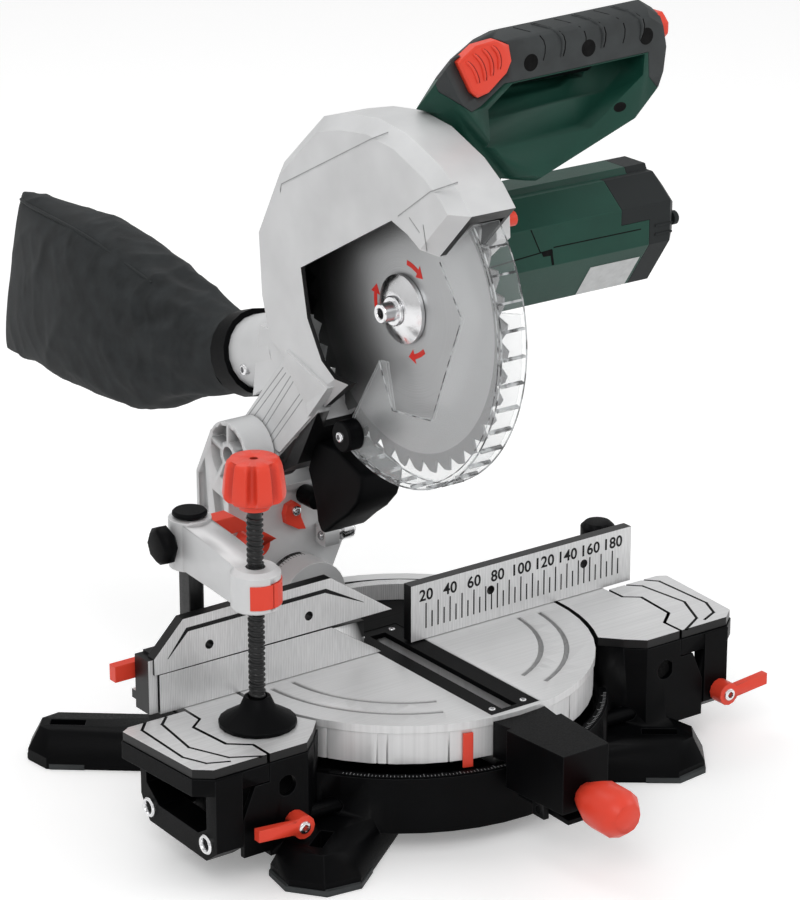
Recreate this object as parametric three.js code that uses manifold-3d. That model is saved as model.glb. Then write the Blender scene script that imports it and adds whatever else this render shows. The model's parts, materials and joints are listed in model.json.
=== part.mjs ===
// A 216 mm chop-type mitre saw with a turning table, a tilting head and sliding table extensions.
// Millimetres, +Z up. X runs along the fence, Y from the user to the back.
// Inside the saw group, x = 0 is the blade plane, y = 0 the fence face and z = 0 the table top.

import * as THREE from 'three';
import { mergeVertices } from 'three/addons/utils/BufferGeometryUtils.js';
import Module from 'manifold-3d';

// General
const gap = 0.3;                    // clearance between pieces that touch
const overrun = 4;                  // how far a cutter runs past the face it cuts
const weld = 0.001;                 // vertices closer than this are one
const deg = Math.PI / 180;
const coarse = 12;                  // sides of a small round
const round = 20;
const fine = 48;                    // sides of a large round

// Turning table
const tableHeight = 85;             // table top above the bench
const depthCentre = 140.5;          // middle of the saw's depth, behind the fence face
const widthCentre = 5.5;            // middle of the saw's width, right of the blade
const tableRadius = 129;
const skirtDepth = 27;
const lipHeight = 5.5;              // edge of the top, standing out over the skirt
const lipOut = 1.2;
const panelWidth = 1.4;             // upright grooves round the skirt
const panelDepth = 0.7;
const panelAngles = [212, 226.9, 229.8, 247.5, 292.5, 310.2, 313.1, 328];  // degrees from the right-hand side
const skirtWall = 5;
const tableWall = 6;
const grooveRadius = 91;            // inner of the two arc grooves on each side
const groovePitch = 17;
const grooveWidth = 3.6;
const grooveDepth = 1.5;
const grooveStart = 4;              // degrees from the fence line
const grooveEnd = 68;
const hubRadius = 22;
const kerfPlateHalf = 19.5;
const kerfPlateTop = 0.5;           // below the table top
const kerfPlateThickness = 3.5;
const kerfPlateFront = 124;
const kerfPlateBack = 34;
const kerfSlotLeft = 7.5;
const kerfSlotRight = 5;
const kerfSlotFront = 119;
const kerfSlotBack = 26;
const troughHalf = 16;
const troughDepth = 37;
const troughWall = 3;
const pointerAngle = 253;           // degrees from the right-hand direction
const pointerThickness = 1.6;

// Front arm, lock handle and detent lever of the turning table
const frontArmHalf = 22;
const frontArmReach = 196;
const frontArmTop = 3;              // below the table top
const frontArmDepth = 43;
const frontArmBridge = 28;          // depth where the arm passes over the base rim
const frontArmStep = 143;
const lockHandleRadius = 16;
const lockHandleEnd = 238;
const lockScrewRadius = 4.5;
const lockScrewDrop = 34;
const lockScrewTip = 139;
const detentHalf = 11;
const detentInner = 142;
const detentOuter = 193;
const detentPivot = 168;
const detentDrop = 50.5;
const detentThickness = 5;
const detentPinRadius = 2.4;

// Base casting
const baseRadius = 138;
const baseWall = 8;
const rimTop = 33;                  // below the table top
const baseBottom = 71;
const deckTop = 43.5;
const deckThickness = 4.5;
const scaleThickness = 0.6;
const wingFront = 90;
const wingBack = 42;
const wingBottom = 70;
const wingWall = 4;
const wingTopWall = 5;
const wingHoleRadius = 7;
const wingHoleX = 154;
const wingHoleDrop = 25;
const footHeight = 24;
const footStart = 104;              // from the table centre
const footFrontLength = 99;
const footFrontWidth = 60;
const footFrontAngle = 217;         // degrees from the right-hand direction
const footRearLength = 148;
const footRearWidth = 48;
const footRearAngle = 141;
const footSlotLength = 24;
const footSlotWidth = 9;

// Table plates and their extensions
const plateThickness = 6;
const plateGap = 2.5;               // ring gap round the turning table
const plateMargin = 0.8;
const extensionRim = 18;
const frameInner = 188;
const frameOuter = 208;
const rodRadius = 5;
const rodDrop = 54;
const rodFrontY = -80;
const rodBackY = -14;
const rodInner = 60;
const lineWidth = 2;                // black lines let into the plates
const lineDepth = 0.9;
const lockHubRadius = 8;
const lockHubLength = 11;
const lockLeverLength = 34;
const lockLeverWidth = 8;
const lockHubDrop = 51;
const lockHubLeftX = -149;
const lockHubRightX = 201;

// Fence
const fenceThickness = 8;
const fenceLift = 0.4;              // above the table
const fenceStep = 27.3;             // top of the lower left fence
const fenceLeftEnd = 190;
const fenceLeftTip = 17;
const fenceLeftShoulder = 57;
const upperLift = 27.9;
const bracketInner = 190.4;
const bracketOuter = 197;
const fenceRightStart = 7.6;
const fenceRightEnd = 196.4;
const fenceRightTop = 40.5;
const fenceHoleRadius = 3.2;
const bowRadius = 88;
const bowWall = 8;
const bowHeight = 12;
const fenceFootDepth = 18;
const fenceFootThickness = 6;
const fenceFootStart = 134;
const fenceBlockStart = 28;
const fenceBlockEnd = 56;
const fenceBlockDepth = 22;
const fenceBlockHeight = 24;
const fenceKnobX = 186;
const fenceKnobY = 24;
const fenceKnobRadius = 12;
const leverX = -180;
const leverY = 26;

// Hold-down clamp, from the post's own axis
const clampX = 147;
const clampY = 28;
const postRadius = 8;
const postTop = 121;
const postBottom = 34;
const postFlat = 5.5;               // the flat that keeps the arm from turning on the post
const clampReach = 75;
const clampArmHalf = 11;
const clampRearRadius = 14;
const clampArmTop = 117;
const clampArmBottom = 86;
const nutTop = 106;
const nutBottom = 80;
const nutRadius = 16;
const spindleRadius = 6;
const padRadius = 25;
const padEdge = 3;
const padHeight = 19;
const knobRadius = 22;
const knobBottom = 146;
const knobTop = 190;
const thumbScrewZ = 102;

// Tilt joint and head hinge
const barrelRadius = 26;
const barrelFront = 102;
const barrelBack = 127.7;
const saddleHalf = 30;
const saddleDepth = 31;
const tiltFront = 128.4;
const tiltBack = 168;
const tiltRadius = 32;
const tiltTop = 76;
const hingeY = 128;
const hingeZ = 108;
const bossRadius = 24;
const hingePinRadius = 6;
const earOuter = 52;
const earInner = 30;
const earRightInner = 28;
const earRightOuter = 50;
const pocketDepth = 9;
const pinX = 10;                    // transport pin
const pinZ = 67;
const spokeCount = 5;
const spokeWidth = 3.4;
const springCoils = 4;
const springWire = 2.1;
const springPitch = 5;
const springRadius = 15;
const springCentre = 5;
const springClear = 20;

// Blade and head, from the arbor axis
const arborY = -4;
const arborZ = 237;
const bladeRadius = 108;
const bladeThickness = 1.8;
const bladeTeeth = 40;
const toothDepth = 8.5;
const arborRadius = 8;
const flangeRadius = 23;
const boltRadius = 6.5;
const boltEnd = 30;
const guardWall = 3;
const guardLeft = 30;
const guardRight = 13;
const guardChamfer = 9;
const guardSize = 130;
const bladeSpace = 121;             // radius kept free for the blade and its lower guard
const bladeSpaceLeft = 16;
const bladeSpaceRight = 9.6;
const lowerRadius = 117;
const lowerWall = 2.4;
const lowerLeft = 12;
const lowerRight = 8;
const lowerStart = 138;             // degrees, front lip of the lower guard
const lowerEnd = 297;
const lowerHubOuter = 38;
const lowerHubInner = 32;
const pivotRingOuter = 31.4;
const pivotRingInner = 26;
const armLeft = 26;
const armRight = 27;
const armSize = 184.6;              // from hinge to arbor
const lugRadius = 22;
const portRadius = 26;
const portWall = 2.5;
const portY = 85;
const portZ = 190;
const portStart = 32.5;
const portLength = 90;
const portFall = 19.4;              // degrees
const chuteHalf = 17;
const chuteWall = 3;

// Gears, armature and motor
const gearModule = 1.15;
const gearTeeth = 40;
const pinionTeeth = 8;
const gearWidth = 9;
const gearStart = 27;
const housingStart = 13.3;
const housingEnd = 52;
const housingRadius = 40;
const housingWall = 3;
const gearBossRadius = 29;
const motorAngle = 45;              // direction from the arbor to the motor axis
const motorRadius = 38;
const motorWall = 3;
const motorEnd = 187;               // of the lower half
const motorUpperEnd = 163;
const motorParting = 11.5;          // over the motor's axis
const motorUpperBack = 14;
const capEnd = 217;
const capChamfer = 12;
const statorRadius = 31;
const statorBore = 22;
const statorStart = 80;
const statorLength = 58;
const coreRadius = 20.5;
const shaftRadius = 4;
const shaftEnd = 164;
const fanRadius = 29;
const fanStart = 60;
const fanWidth = 10;
const fanBlades = 9;
const lockPinY = -69;
const lockPinZ = 71;
const lockPinRadius = 5;
const lockPinStart = 17;
const lockPinEnd = 33;

// D-handle
const handleFront = -40;
const handleBack = -1;
const handleDepth = handleBack - handleFront;
const handleMiddle = [92, 372];
const gripCornerBack = -29;
const recessBack = -13;
const recessStep = 6;
const neckBottom = 285;
const triggerLift = 6;
const triggerStart = 72;
const triggerEnd = 130;
const slideLift = 4;
const slideSeat = 5;
const buttonLift = 5;
const buttonStart = 172;
const buttonEnd = 192;
const buttonRound = 3;
const buttonFront = -34;
const buttonBack = -12;
const buttonLow = 390.5;
const buttonHigh = 410;

// Dust bag
const bagSides = 16;
const collarStart = 83.5;           // along the port
const collarLength = 18;
const collarWall = 4;

// Materials
const finish = (color, roughness, metalness = 0, extra = {}) =>
  new THREE.MeshStandardMaterial({ color, roughness, metalness, ...extra });
const castSilver = finish(0xc4c6c7, 0.45, 0.35);
const machined = finish(0xd2d4d6, 0.3, 0.8);
const steel = finish(0xb9bbbd, 0.3, 0.9);
const blackCast = finish(0x17181a, 0.5);
const blackPlastic = finish(0x1b1c1e, 0.6);
const rubber = finish(0x242528, 0.85);
const green = finish(0x1f4a3a, 0.5);
const red = finish(0xe23a2e, 0.45);
const clear = finish(0xe8eef0, 0.08, 0, { transparent: true, opacity: 0.35 });
const cloth = finish(0x232427, 0.95);
const copper = finish(0x8a4b2a, 0.4, 0.8);

// Shapes

const wasm = await Module();
wasm.setup();

const axisX = new THREE.Vector3(1, 0, 0);
const axisY = new THREE.Vector3(0, 1, 0);
const axisZ = new THREE.Vector3(0, 0, 1);

// A closed solid from a geometry, whichever way its faces were turned
function solid(geometry) {
  const bare = new THREE.BufferGeometry();
  bare.setAttribute('position', geometry.getAttribute('position'));
  if (geometry.index) bare.setIndex(geometry.index);
  const merged = mergeVertices(bare, weld);
  const points = merged.getAttribute('position').array;
  const at = (i) => new THREE.Vector3().fromArray(points, 3 * i);
  const triangles = [];
  let volume = 0;
  for (let i = 0; i < merged.index.count; i += 3) {
    const [a, b, c] = merged.index.array.slice(i, i + 3);
    if (a === b || b === c || c === a) continue;
    triangles.push([a, b, c]);
    volume += at(a).dot(at(b).cross(at(c)));
  }
  const outward = volume < 0 ? triangles.map(([a, b, c]) => [a, c, b]) : triangles;
  return new wasm.Manifold(new wasm.Mesh({
    numProp: 3,
    vertProperties: new Float32Array(points),
    triVerts: new Uint32Array(outward.flat()),
  }));
}

const join = (...shapes) => shapes.reduce((all, next) => all.add(next));
const cut = (shape, ...cutters) => cutters.reduce((all, next) => all.subtract(next), shape);

function piece(name, shape, material, parent) {
  const result = shape.getMesh();
  const geometry = new THREE.BufferGeometry();
  const points = new Float32Array(result.vertProperties);
  geometry.setAttribute('position', new THREE.BufferAttribute(points, 3));
  geometry.setIndex(new THREE.BufferAttribute(new Uint32Array(result.triVerts), 1));
  geometry.computeVertexNormals();
  const mesh = new THREE.Mesh(geometry, material);
  mesh.name = name;
  parent.add(mesh);
  return mesh;
}

const outline = (points) => new THREE.Shape(points.map(([u, v]) => new THREE.Vector2(u, v)));

// Turns what was drawn across z so that it lies across another axis
function facing(axis, geometry) {
  const turn = new THREE.Matrix4();
  if (axis === 'x') turn.makeBasis(axisY, axisZ, axisX);
  if (axis === 'y') turn.makeBasis(axisX, axisZ, axisY);
  return geometry.applyMatrix4(turn);
}

// A prism of (y, z) points along x, (x, z) points along y, or (x, y) points along z
function prism(axis, points, from, to) {
  const geometry = new THREE.ExtrudeGeometry(outline(points), { depth: to - from, bevelEnabled: false });
  return solid(facing(axis, geometry.translate(0, 0, from)));
}

// The same with both ends chamfered and the sides moved in
function chamfered(axis, points, from, to, chamfer, inward = 0) {
  const geometry = new THREE.ExtrudeGeometry(outline(points), {
    depth: to - from - 2 * chamfer,
    bevelEnabled: true,
    bevelSegments: 1,
    bevelThickness: chamfer,
    bevelSize: chamfer,
    bevelOffset: -chamfer - inward,
  });
  return solid(facing(axis, geometry.translate(0, 0, from + chamfer)));
}

function box(x, y, z) {
  const geometry = new THREE.BoxGeometry(x[1] - x[0], y[1] - y[0], z[1] - z[0]);
  return solid(geometry.translate((x[0] + x[1]) / 2, (y[0] + y[1]) / 2, (z[0] + z[1]) / 2));
}

// A body of revolution of [radius, position] points about an axis through (u, v)
function turned(axis, [u, v], profile, sides = round) {
  const geometry = new THREE.LatheGeometry(profile.map(([r, h]) => new THREE.Vector2(r, h)), sides);
  geometry.rotateX(Math.PI / 2);
  return solid(facing(axis, geometry.translate(u, v, 0)));
}

const rod = (axis, at, radius, from, to, sides = round) =>
  turned(axis, at, [[0, from], [radius, from], [radius, to], [0, to]], sides);

const tube = (axis, at, outer, inner, from, to, sides = round) =>
  turned(axis, at, [[inner, from], [outer, from], [outer, to], [inner, to], [inner, from]], sides);

const polar = (radius, angle, [u, v] = [0, 0]) =>
  [u + radius * Math.cos(angle * deg), v + radius * Math.sin(angle * deg)];

const arc = (radius, from, to, steps, centre = [0, 0]) =>
  Array.from({ length: steps + 1 }, (_, i) => polar(radius, from + (to - from) * i / steps, centre));

const sector = (axis, outer, inner, from, to, low, high, steps, centre = [0, 0]) =>
  prism(axis, [...arc(outer, from, to, steps, centre), ...arc(inner, to, from, steps, centre)], low, high);

const scaled = (shares, size, [u, v] = [0, 0]) => shares.map(([a, b]) => [u + a * size, v + b * size]);
const mirrored = (points, side) => points.map(([x, y]) => [side * x, y]);

// Moves each side of an outline inwards, or outwards for a negative distance
function inset(points, distance) {
  const next = (i) => points[(i + 1) % points.length];
  const area = points.reduce((sum, [x, y], i) => sum + x * next(i)[1] - next(i)[0] * y, 0);
  const inward = distance * Math.sign(area);
  const lines = points.map(([x, y], i) => {
    const length = Math.hypot(next(i)[0] - x, next(i)[1] - y);
    const [dx, dy] = [(next(i)[0] - x) / length, (next(i)[1] - y) / length];
    return { x: x - dy * inward, y: y + dx * inward, dx, dy };
  });
  return lines.map((line, i) => {
    const last = lines[(i + lines.length - 1) % lines.length];
    const cross = last.dx * line.dy - last.dy * line.dx;
    if (Math.abs(cross) < weld) return [line.x, line.y];
    const t = ((line.x - last.x) * line.dy - (line.y - last.y) * line.dx) / cross;
    return [last.x + last.dx * t, last.y + last.dy * t];
  });
}

// A groove of even width along a bent line of points
function groove(points, width, low, high) {
  return join(...points.slice(1).map(([x, y], i) => {
    const [lastX, lastY] = points[i];
    const length = Math.hypot(x - lastX, y - lastY);
    const [dx, dy] = [(x - lastX) / length * width / 2, (y - lastY) / length * width / 2];
    return prism('z', [[lastX - dx + dy, lastY - dy - dx], [x + dx + dy, y + dy - dx],
      [x + dx - dy, y + dy + dx], [lastX - dx - dy, lastY - dy + dx]], low, high);
  }));
}

const saw = new THREE.Group();
saw.position.set(-widthCentre, -depthCentre, tableHeight);

function group(x, y, z, parent = saw) {
  const result = new THREE.Group();
  result.position.set(x, y, z);
  parent.add(result);
  return result;
}

// Base

const ringRadius = tableRadius + plateGap;

// Right-hand table plate: round the turning table, its corner in front, then the stepped split
const plateOutline = [
  ...arc(ringRadius, Math.asin(wingBack / ringRadius) / deg, -30, 8),
  [126, -79], [138, -90], [167, -90], [167, -72], [180, -61], [183, -28], [173, -20], [173, wingBack],
];
const extensionOutline = [[173.6, -3.4], [173.6, -20.3], [183.7, -28.3], [180.7, -61.3], [167.6, -72.3],
  [167.6, -90], [208, -90], [219, -81], [224, -7.5], [217, -3.4]];
const extensionLines = [
  [[189, -5], [197, -13], [202, -52], [190, -79], [171, -90]],
  [[204, -4], [212, -13], [213, -62], [206, -78], [193, -84]],
];
const flareOutline = [[160, -19], [178, -19], [187, -40], [187, -66], [160, -66]];

function foot(angle, length, width, side) {
  const half = width / 2;
  const corner = 0.3 * width;
  const end = footStart + length;
  const plan = [[footStart, -half], [end - corner, -half], [end, corner - half], [end, half - corner],
    [end - corner, half], [footStart, half]];
  const geometry = new THREE.ExtrudeGeometry(outline(plan), {
    depth: footHeight / 3,
    bevelEnabled: true,
    bevelSegments: 1,
    bevelThickness: 2 * footHeight / 3,
    bevelSize: footHeight / 3,
    bevelOffset: -footHeight / 3,
  });
  const body = solid(geometry.translate(0, 0, -tableHeight));
  const under = box([-end, 2 * end], [-end, end], [-2 * tableHeight, -tableHeight]);
  const slotStart = end - corner - footSlotLength;
  const slot = box([slotStart, slotStart + footSlotLength], [-footSlotWidth / 2, footSlotWidth / 2],
    [-tableHeight - overrun, 0]);
  const shaped = cut(body, under, slot).rotate([0, 0, angle]);
  return side < 0 ? shaped : shaped.mirror([1, 0, 0]);
}

function wing(side) {
  const shape = mirrored(plateOutline, side);
  const top = -plateThickness - gap;
  const shell = cut(prism('z', shape, -wingBottom, top),
    prism('z', inset(shape, wingWall), -wingBottom - overrun, top - wingTopWall),
    rod('y', [side * wingHoleX, -wingHoleDrop], wingHoleRadius, -wingFront - overrun,
      -wingFront + wingWall + overrun));
  return join(shell, prism('y', mirrored(flareOutline, side), -wingFront, -wingFront + wingWall));
}

function baseCasting() {
  const rods = [-1, 1].flatMap((side) => [rodFrontY, rodBackY].map((y) => {
    const ends = [side * rodInner, side * frameInner].sort((a, b) => a - b);
    return rod('x', [y, -rodDrop], rodRadius + gap, ...ends);
  }));
  const feet = [-1, 1].flatMap((side) => [
    foot(footFrontAngle, footFrontLength, footFrontWidth, side),
    foot(footRearAngle, footRearLength, footRearWidth, side),
  ]);
  return cut(join(
    tube('z', [0, 0], baseRadius, baseRadius - baseWall, -baseBottom, -rimTop, fine),
    rod('z', [0, 0], baseRadius - baseWall / 2, -deckTop - deckThickness, -deckTop, fine),
    wing(-1), wing(1), ...feet,
  ), ...rods, rod('z', [-clampX, clampY], postRadius + gap, -wingBottom, 0));
}

function tablePlate(side) {
  return cut(prism('z', inset(mirrored(plateOutline, side), plateMargin), -plateThickness, 0),
    rod('z', [-clampX, clampY], postRadius + gap, -wingBottom, overrun));
}

function extensionPlate(side) {
  const lines = extensionLines.map((line) => groove(mirrored(line, side), lineWidth, -lineDepth, overrun));
  return cut(prism('z', inset(mirrored(extensionOutline, side), plateMargin), -plateThickness, 0),
    ...lines);
}

// Rim under the plate, open end frame and the two guide rods
function extensionFrame(side) {
  const span = (a, b) => side < 0 ? [-b, -a] : [a, b];
  const shape = mirrored(extensionOutline, side);
  const frame = [[-3.4, -7], [-3.4, -48], [-13, -64], [-79, -66], [-91, -57], [-91, -7]];
  const window = [[-10, -22], [-10, -38], [-24, -49], [-70, -50], [-80, -44], [-80, -22]];
  const [inner, outer] = span(frameInner, frameOuter);
  const rods = [rodFrontY, rodBackY].map((y) =>
    rod('x', [y, -rodDrop], rodRadius, ...span(rodInner, frameOuter - gap), coarse));
  return join(
    cut(prism('z', shape, -extensionRim, -plateThickness - gap),
      prism('z', inset(shape, wingWall), -extensionRim - overrun, -plateThickness - gap - wingTopWall)),
    cut(prism('x', frame, inner, outer), prism('x', window, inner - overrun, outer + overrun)),
    ...rods);
}

function lockLever(x, side) {
  const top = -wingFront - gap;
  const tip = [x + side * lockLeverLength, 3 - lockHubDrop];
  const half = lockLeverWidth / 2;
  return join(
    rod('y', [x, -lockHubDrop], lockHubRadius, top - lockHubLength, top, coarse),
    prism('y', [[x, -lockHubDrop - half], [tip[0], tip[1] - half], [tip[0], tip[1] + half],
      [x, half - lockHubDrop]], top - lockHubLength, top - lockHubLength / 2));
}

function buildBase() {
  piece('base_casting', baseCasting(), blackCast, saw);
  piece('mitre_scale', sector('z', baseRadius - 1, baseRadius - baseWall + 2, 214, 326, gap - rimTop,
    gap - rimTop + scaleThickness, round), machined, saw);
  [[-1, 'left'], [1, 'right']].forEach(([side, name]) => {
    piece(`table_plate_${name}`, tablePlate(side), machined, saw);
    piece(`extension_frame_${name}`, extensionFrame(side), blackCast, saw);
    piece(`extension_plate_${name}`, extensionPlate(side), machined, saw);
  });
  piece('extension_lock_left', lockLever(lockHubLeftX, -1), red, saw);
  piece('extension_lock_right', lockLever(lockHubRightX, 1).translate([0, -1, 0]), red, saw);
}

// Fence

function fenceCasting() {
  const left = prism('y', [[-fenceLeftEnd, fenceLift], [-fenceLeftEnd, fenceStep],
    [-fenceLeftShoulder, fenceStep], [-fenceLeftTip, fenceLift]], 0, fenceThickness);
  const right = box([fenceRightStart, fenceRightEnd], [0, fenceThickness], [fenceLift, fenceRightTop]);
  const flat = [fenceLift, fenceLift + fenceFootThickness];
  const feet = [
    box([-fenceLeftEnd, -fenceFootStart], [fenceThickness / 2, fenceFootDepth], flat),
    box([fenceFootStart, fenceLeftEnd], [fenceThickness / 2, fenceFootDepth], flat),
    box([-fenceLeftEnd, leverX + 10], [fenceFootDepth - 1, leverY + 8], flat),
    box([fenceKnobX - 10, fenceKnobX + 10], [fenceFootDepth - 1, fenceKnobY + 9], flat),
  ];
  const bow = sector('z', bowRadius, bowRadius - bowWall, 3, 177, fenceLift, bowHeight, round);
  const block = box([-fenceBlockEnd, -fenceBlockStart], [fenceThickness / 2, fenceBlockDepth],
    [fenceLift, fenceBlockHeight]);
  const holes = [74.2, 154.8].map((x) =>
    rod('y', [x, 22.3], fenceHoleRadius, -overrun, fenceThickness + overrun, coarse));
  return cut(join(left, right, ...feet, bow, block), ...holes);
}

const upperOutline = [[-193.6, upperLift], [-8.2, 28.6], [-57.2, 62.3], [-171.7, 61.4], [-193.6, 39.1]];

// Cut off the inner tip's back, where the blade passes at full mitre
const upperTipRelief = [[-8, -1], [0, -1], [0, 9], [-12.4, 9]];

function upperFence() {
  const face = prism('y', upperOutline, 0, fenceThickness);
  const carriage = box([-bracketInner - 1, -70], [fenceThickness - 1, 17], [upperLift + 0.6, upperLift + 12]);
  const bracket = box([-bracketOuter, -bracketInner], [2, 18], [1, 38]);
  const holes = [[-152, 39.3], [-74.8, 39.9]].map((at) =>
    rod('y', at, fenceHoleRadius, -overrun, fenceThickness + overrun + 10, coarse));
  const bladeRelief = prism('z', upperTipRelief, upperLift - overrun, upperLift + fenceRightTop);
  return cut(join(face, carriage, bracket), bladeRelief, ...holes);
}

function buildFence() {
  piece('fence_casting', fenceCasting(), machined, saw);
  piece('upper_fence', upperFence(), machined, saw);
  const low = fenceLift + fenceFootThickness + gap;
  piece('fence_lock_lever', join(
    rod('z', [leverX, leverY], 6.5, low, 30, coarse),
    box([leverX - 29, leverX], [leverY - 3.5, leverY + 3.5], [19, 30]),
  ), red, saw);
  piece('fence_knob_right', turned('z', [fenceKnobX, fenceKnobY], [[0, low], [5, low], [5, 24],
    [fenceKnobRadius - 2, 24], [fenceKnobRadius, 27], [fenceKnobRadius, 36], [fenceKnobRadius - 3, 39],
    [0, 39]]), blackPlastic, saw);
}

// Turning table

function turntable() {
  const skirt = tableRadius - lipOut;
  const shell = turned('z', [0, 0], [[0, -tableWall], [tableRadius - skirtWall, -tableWall],
    [tableRadius - skirtWall, -skirtDepth], [skirt, -skirtDepth], [skirt, -lipHeight],
    [tableRadius, -lipHeight], [tableRadius, 0], [0, 0]], fine);
  const panels = panelAngles.map((angle) => box([skirt - panelDepth, tableRadius + overrun],
    [-panelWidth / 2, panelWidth / 2], [-skirtDepth - overrun, -lipHeight]).rotate([0, 0, angle]));
  const hub = rod('z', [0, 0], hubRadius, 0.5 - deckTop, -tableWall / 2);
  const trough = box([-troughHalf, troughHalf], [-kerfPlateFront, kerfPlateBack],
    [-troughDepth, -tableWall / 2]);
  const troughInside = box([troughWall - troughHalf, troughHalf - troughWall],
    [troughWall - kerfPlateFront, kerfPlateBack - troughWall], [troughWall - troughDepth, overrun]);
  const low = -kerfPlateTop - kerfPlateThickness - gap;
  const seat = box([-kerfPlateHalf - gap, kerfPlateHalf + gap], [-kerfPlateFront - gap, kerfPlateBack + gap],
    [low, overrun]);
  const grooves = [0, 1].flatMap((row) => [0, 1].map((left) => {
    const inner = grooveRadius + row * groovePitch;
    const from = left ? 180 + grooveStart : -grooveEnd;
    const to = left ? 180 + grooveEnd : -grooveStart;
    return sector('z', inner + grooveWidth, inner, from, to, -grooveDepth, overrun, coarse);
  }));
  const saddle = box([-saddleHalf - gap, saddleHalf + gap], [barrelFront - gap, 2 * tableRadius],
    [-tableHeight, overrun]);
  return cut(join(shell, hub, trough), troughInside, seat, saddle, ...grooves, ...panels);
}

function kerfInsert() {
  const top = -kerfPlateTop;
  const holes = [8 - kerfPlateFront, kerfPlateBack - 6].flatMap((y) => [-13, 12].map((x) =>
    rod('z', [x, y], 2, -tableWall, overrun, 8)));
  return cut(box([-kerfPlateHalf, kerfPlateHalf], [-kerfPlateFront, kerfPlateBack],
    [top - kerfPlateThickness, top]),
  box([-kerfSlotLeft, kerfSlotRight], [-kerfSlotFront, kerfSlotBack], [-tableWall, overrun]),
  ...holes);
}

function bevelBarrel() {
  return join(rod('y', [0, 0], barrelRadius, barrelFront, barrelBack, 32),
    box([-saddleHalf, saddleHalf], [barrelFront, barrelBack - 3], [-saddleDepth, -1]));
}

function frontArm() {
  const plan = (near, far) => [[-frontArmHalf, -near], [4 - frontArmHalf, -far],
    [frontArmHalf - 4, -far], [frontArmHalf, -near]];
  const bridge = cut(prism('z', plan(tableRadius - 10, frontArmStep + 2), -frontArmBridge, -frontArmTop),
    rod('z', [0, 0], tableRadius + gap, -tableHeight, 0, fine));
  const bar = prism('z', plan(frontArmStep, frontArmReach), -frontArmDepth, -frontArmTop);
  const lugs = [-1, 1].map((side) => {
    const x = side * (detentHalf + 2.5);
    return box([x - 2, x + 2], [-detentPivot - 6, 6 - detentPivot],
      [-detentDrop - 5, 1 - frontArmDepth]);
  });
  return cut(join(bridge, bar, ...lugs),
    rod('y', [0, -lockScrewDrop], lockScrewRadius + gap, -frontArmReach - overrun, -tableRadius, coarse),
    rod('x', [-detentPivot, -detentDrop], detentPinRadius + gap, -frontArmHalf, frontArmHalf, coarse));
}

function lockHandle() {
  const end = -frontArmReach - gap;
  const body = turned('y', [0, -lockScrewDrop], [[0, -lockHandleEnd], [10, -lockHandleEnd],
    [lockHandleRadius, 8 - lockHandleEnd], [lockHandleRadius, 26 - lockHandleEnd],
    [9, end], [0, end]], 12);
  return join(body, rod('y', [0, -lockScrewDrop], lockScrewRadius, end - 1, -lockScrewTip, coarse));
}

function detentLever() {
  const low = -detentDrop - detentThickness / 2;
  const plate = prism('x', [[-detentInner, low + 1], [-detentInner, low + detentThickness - 1],
    [-detentPivot, low + detentThickness], [-detentOuter, low + 3], [-detentOuter, low]],
  -detentHalf, detentHalf);
  return join(plate, rod('x', [-detentPivot, -detentDrop], detentPinRadius, -detentHalf - 4,
    detentHalf + 4, coarse));
}

function buildTurntable() {
  piece('turntable', turntable(), machined, saw);
  piece('kerf_insert', kerfInsert(), blackPlastic, saw);
  piece('bevel_barrel', bevelBarrel(), castSilver, saw);
  piece('front_arm', frontArm(), blackCast, saw);
  piece('mitre_lock_handle', lockHandle(), red, saw);
  piece('detent_lever', detentLever(), blackPlastic, saw);
  const inner = tableRadius - lipOut + gap;
  piece('mitre_pointer', sector('z', inner + pointerThickness, inner, pointerAngle - 1.5,
    pointerAngle + 1.5, 1.5 - rimTop, -8, 2), red, saw);
}

// Hold-down clamp

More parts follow.
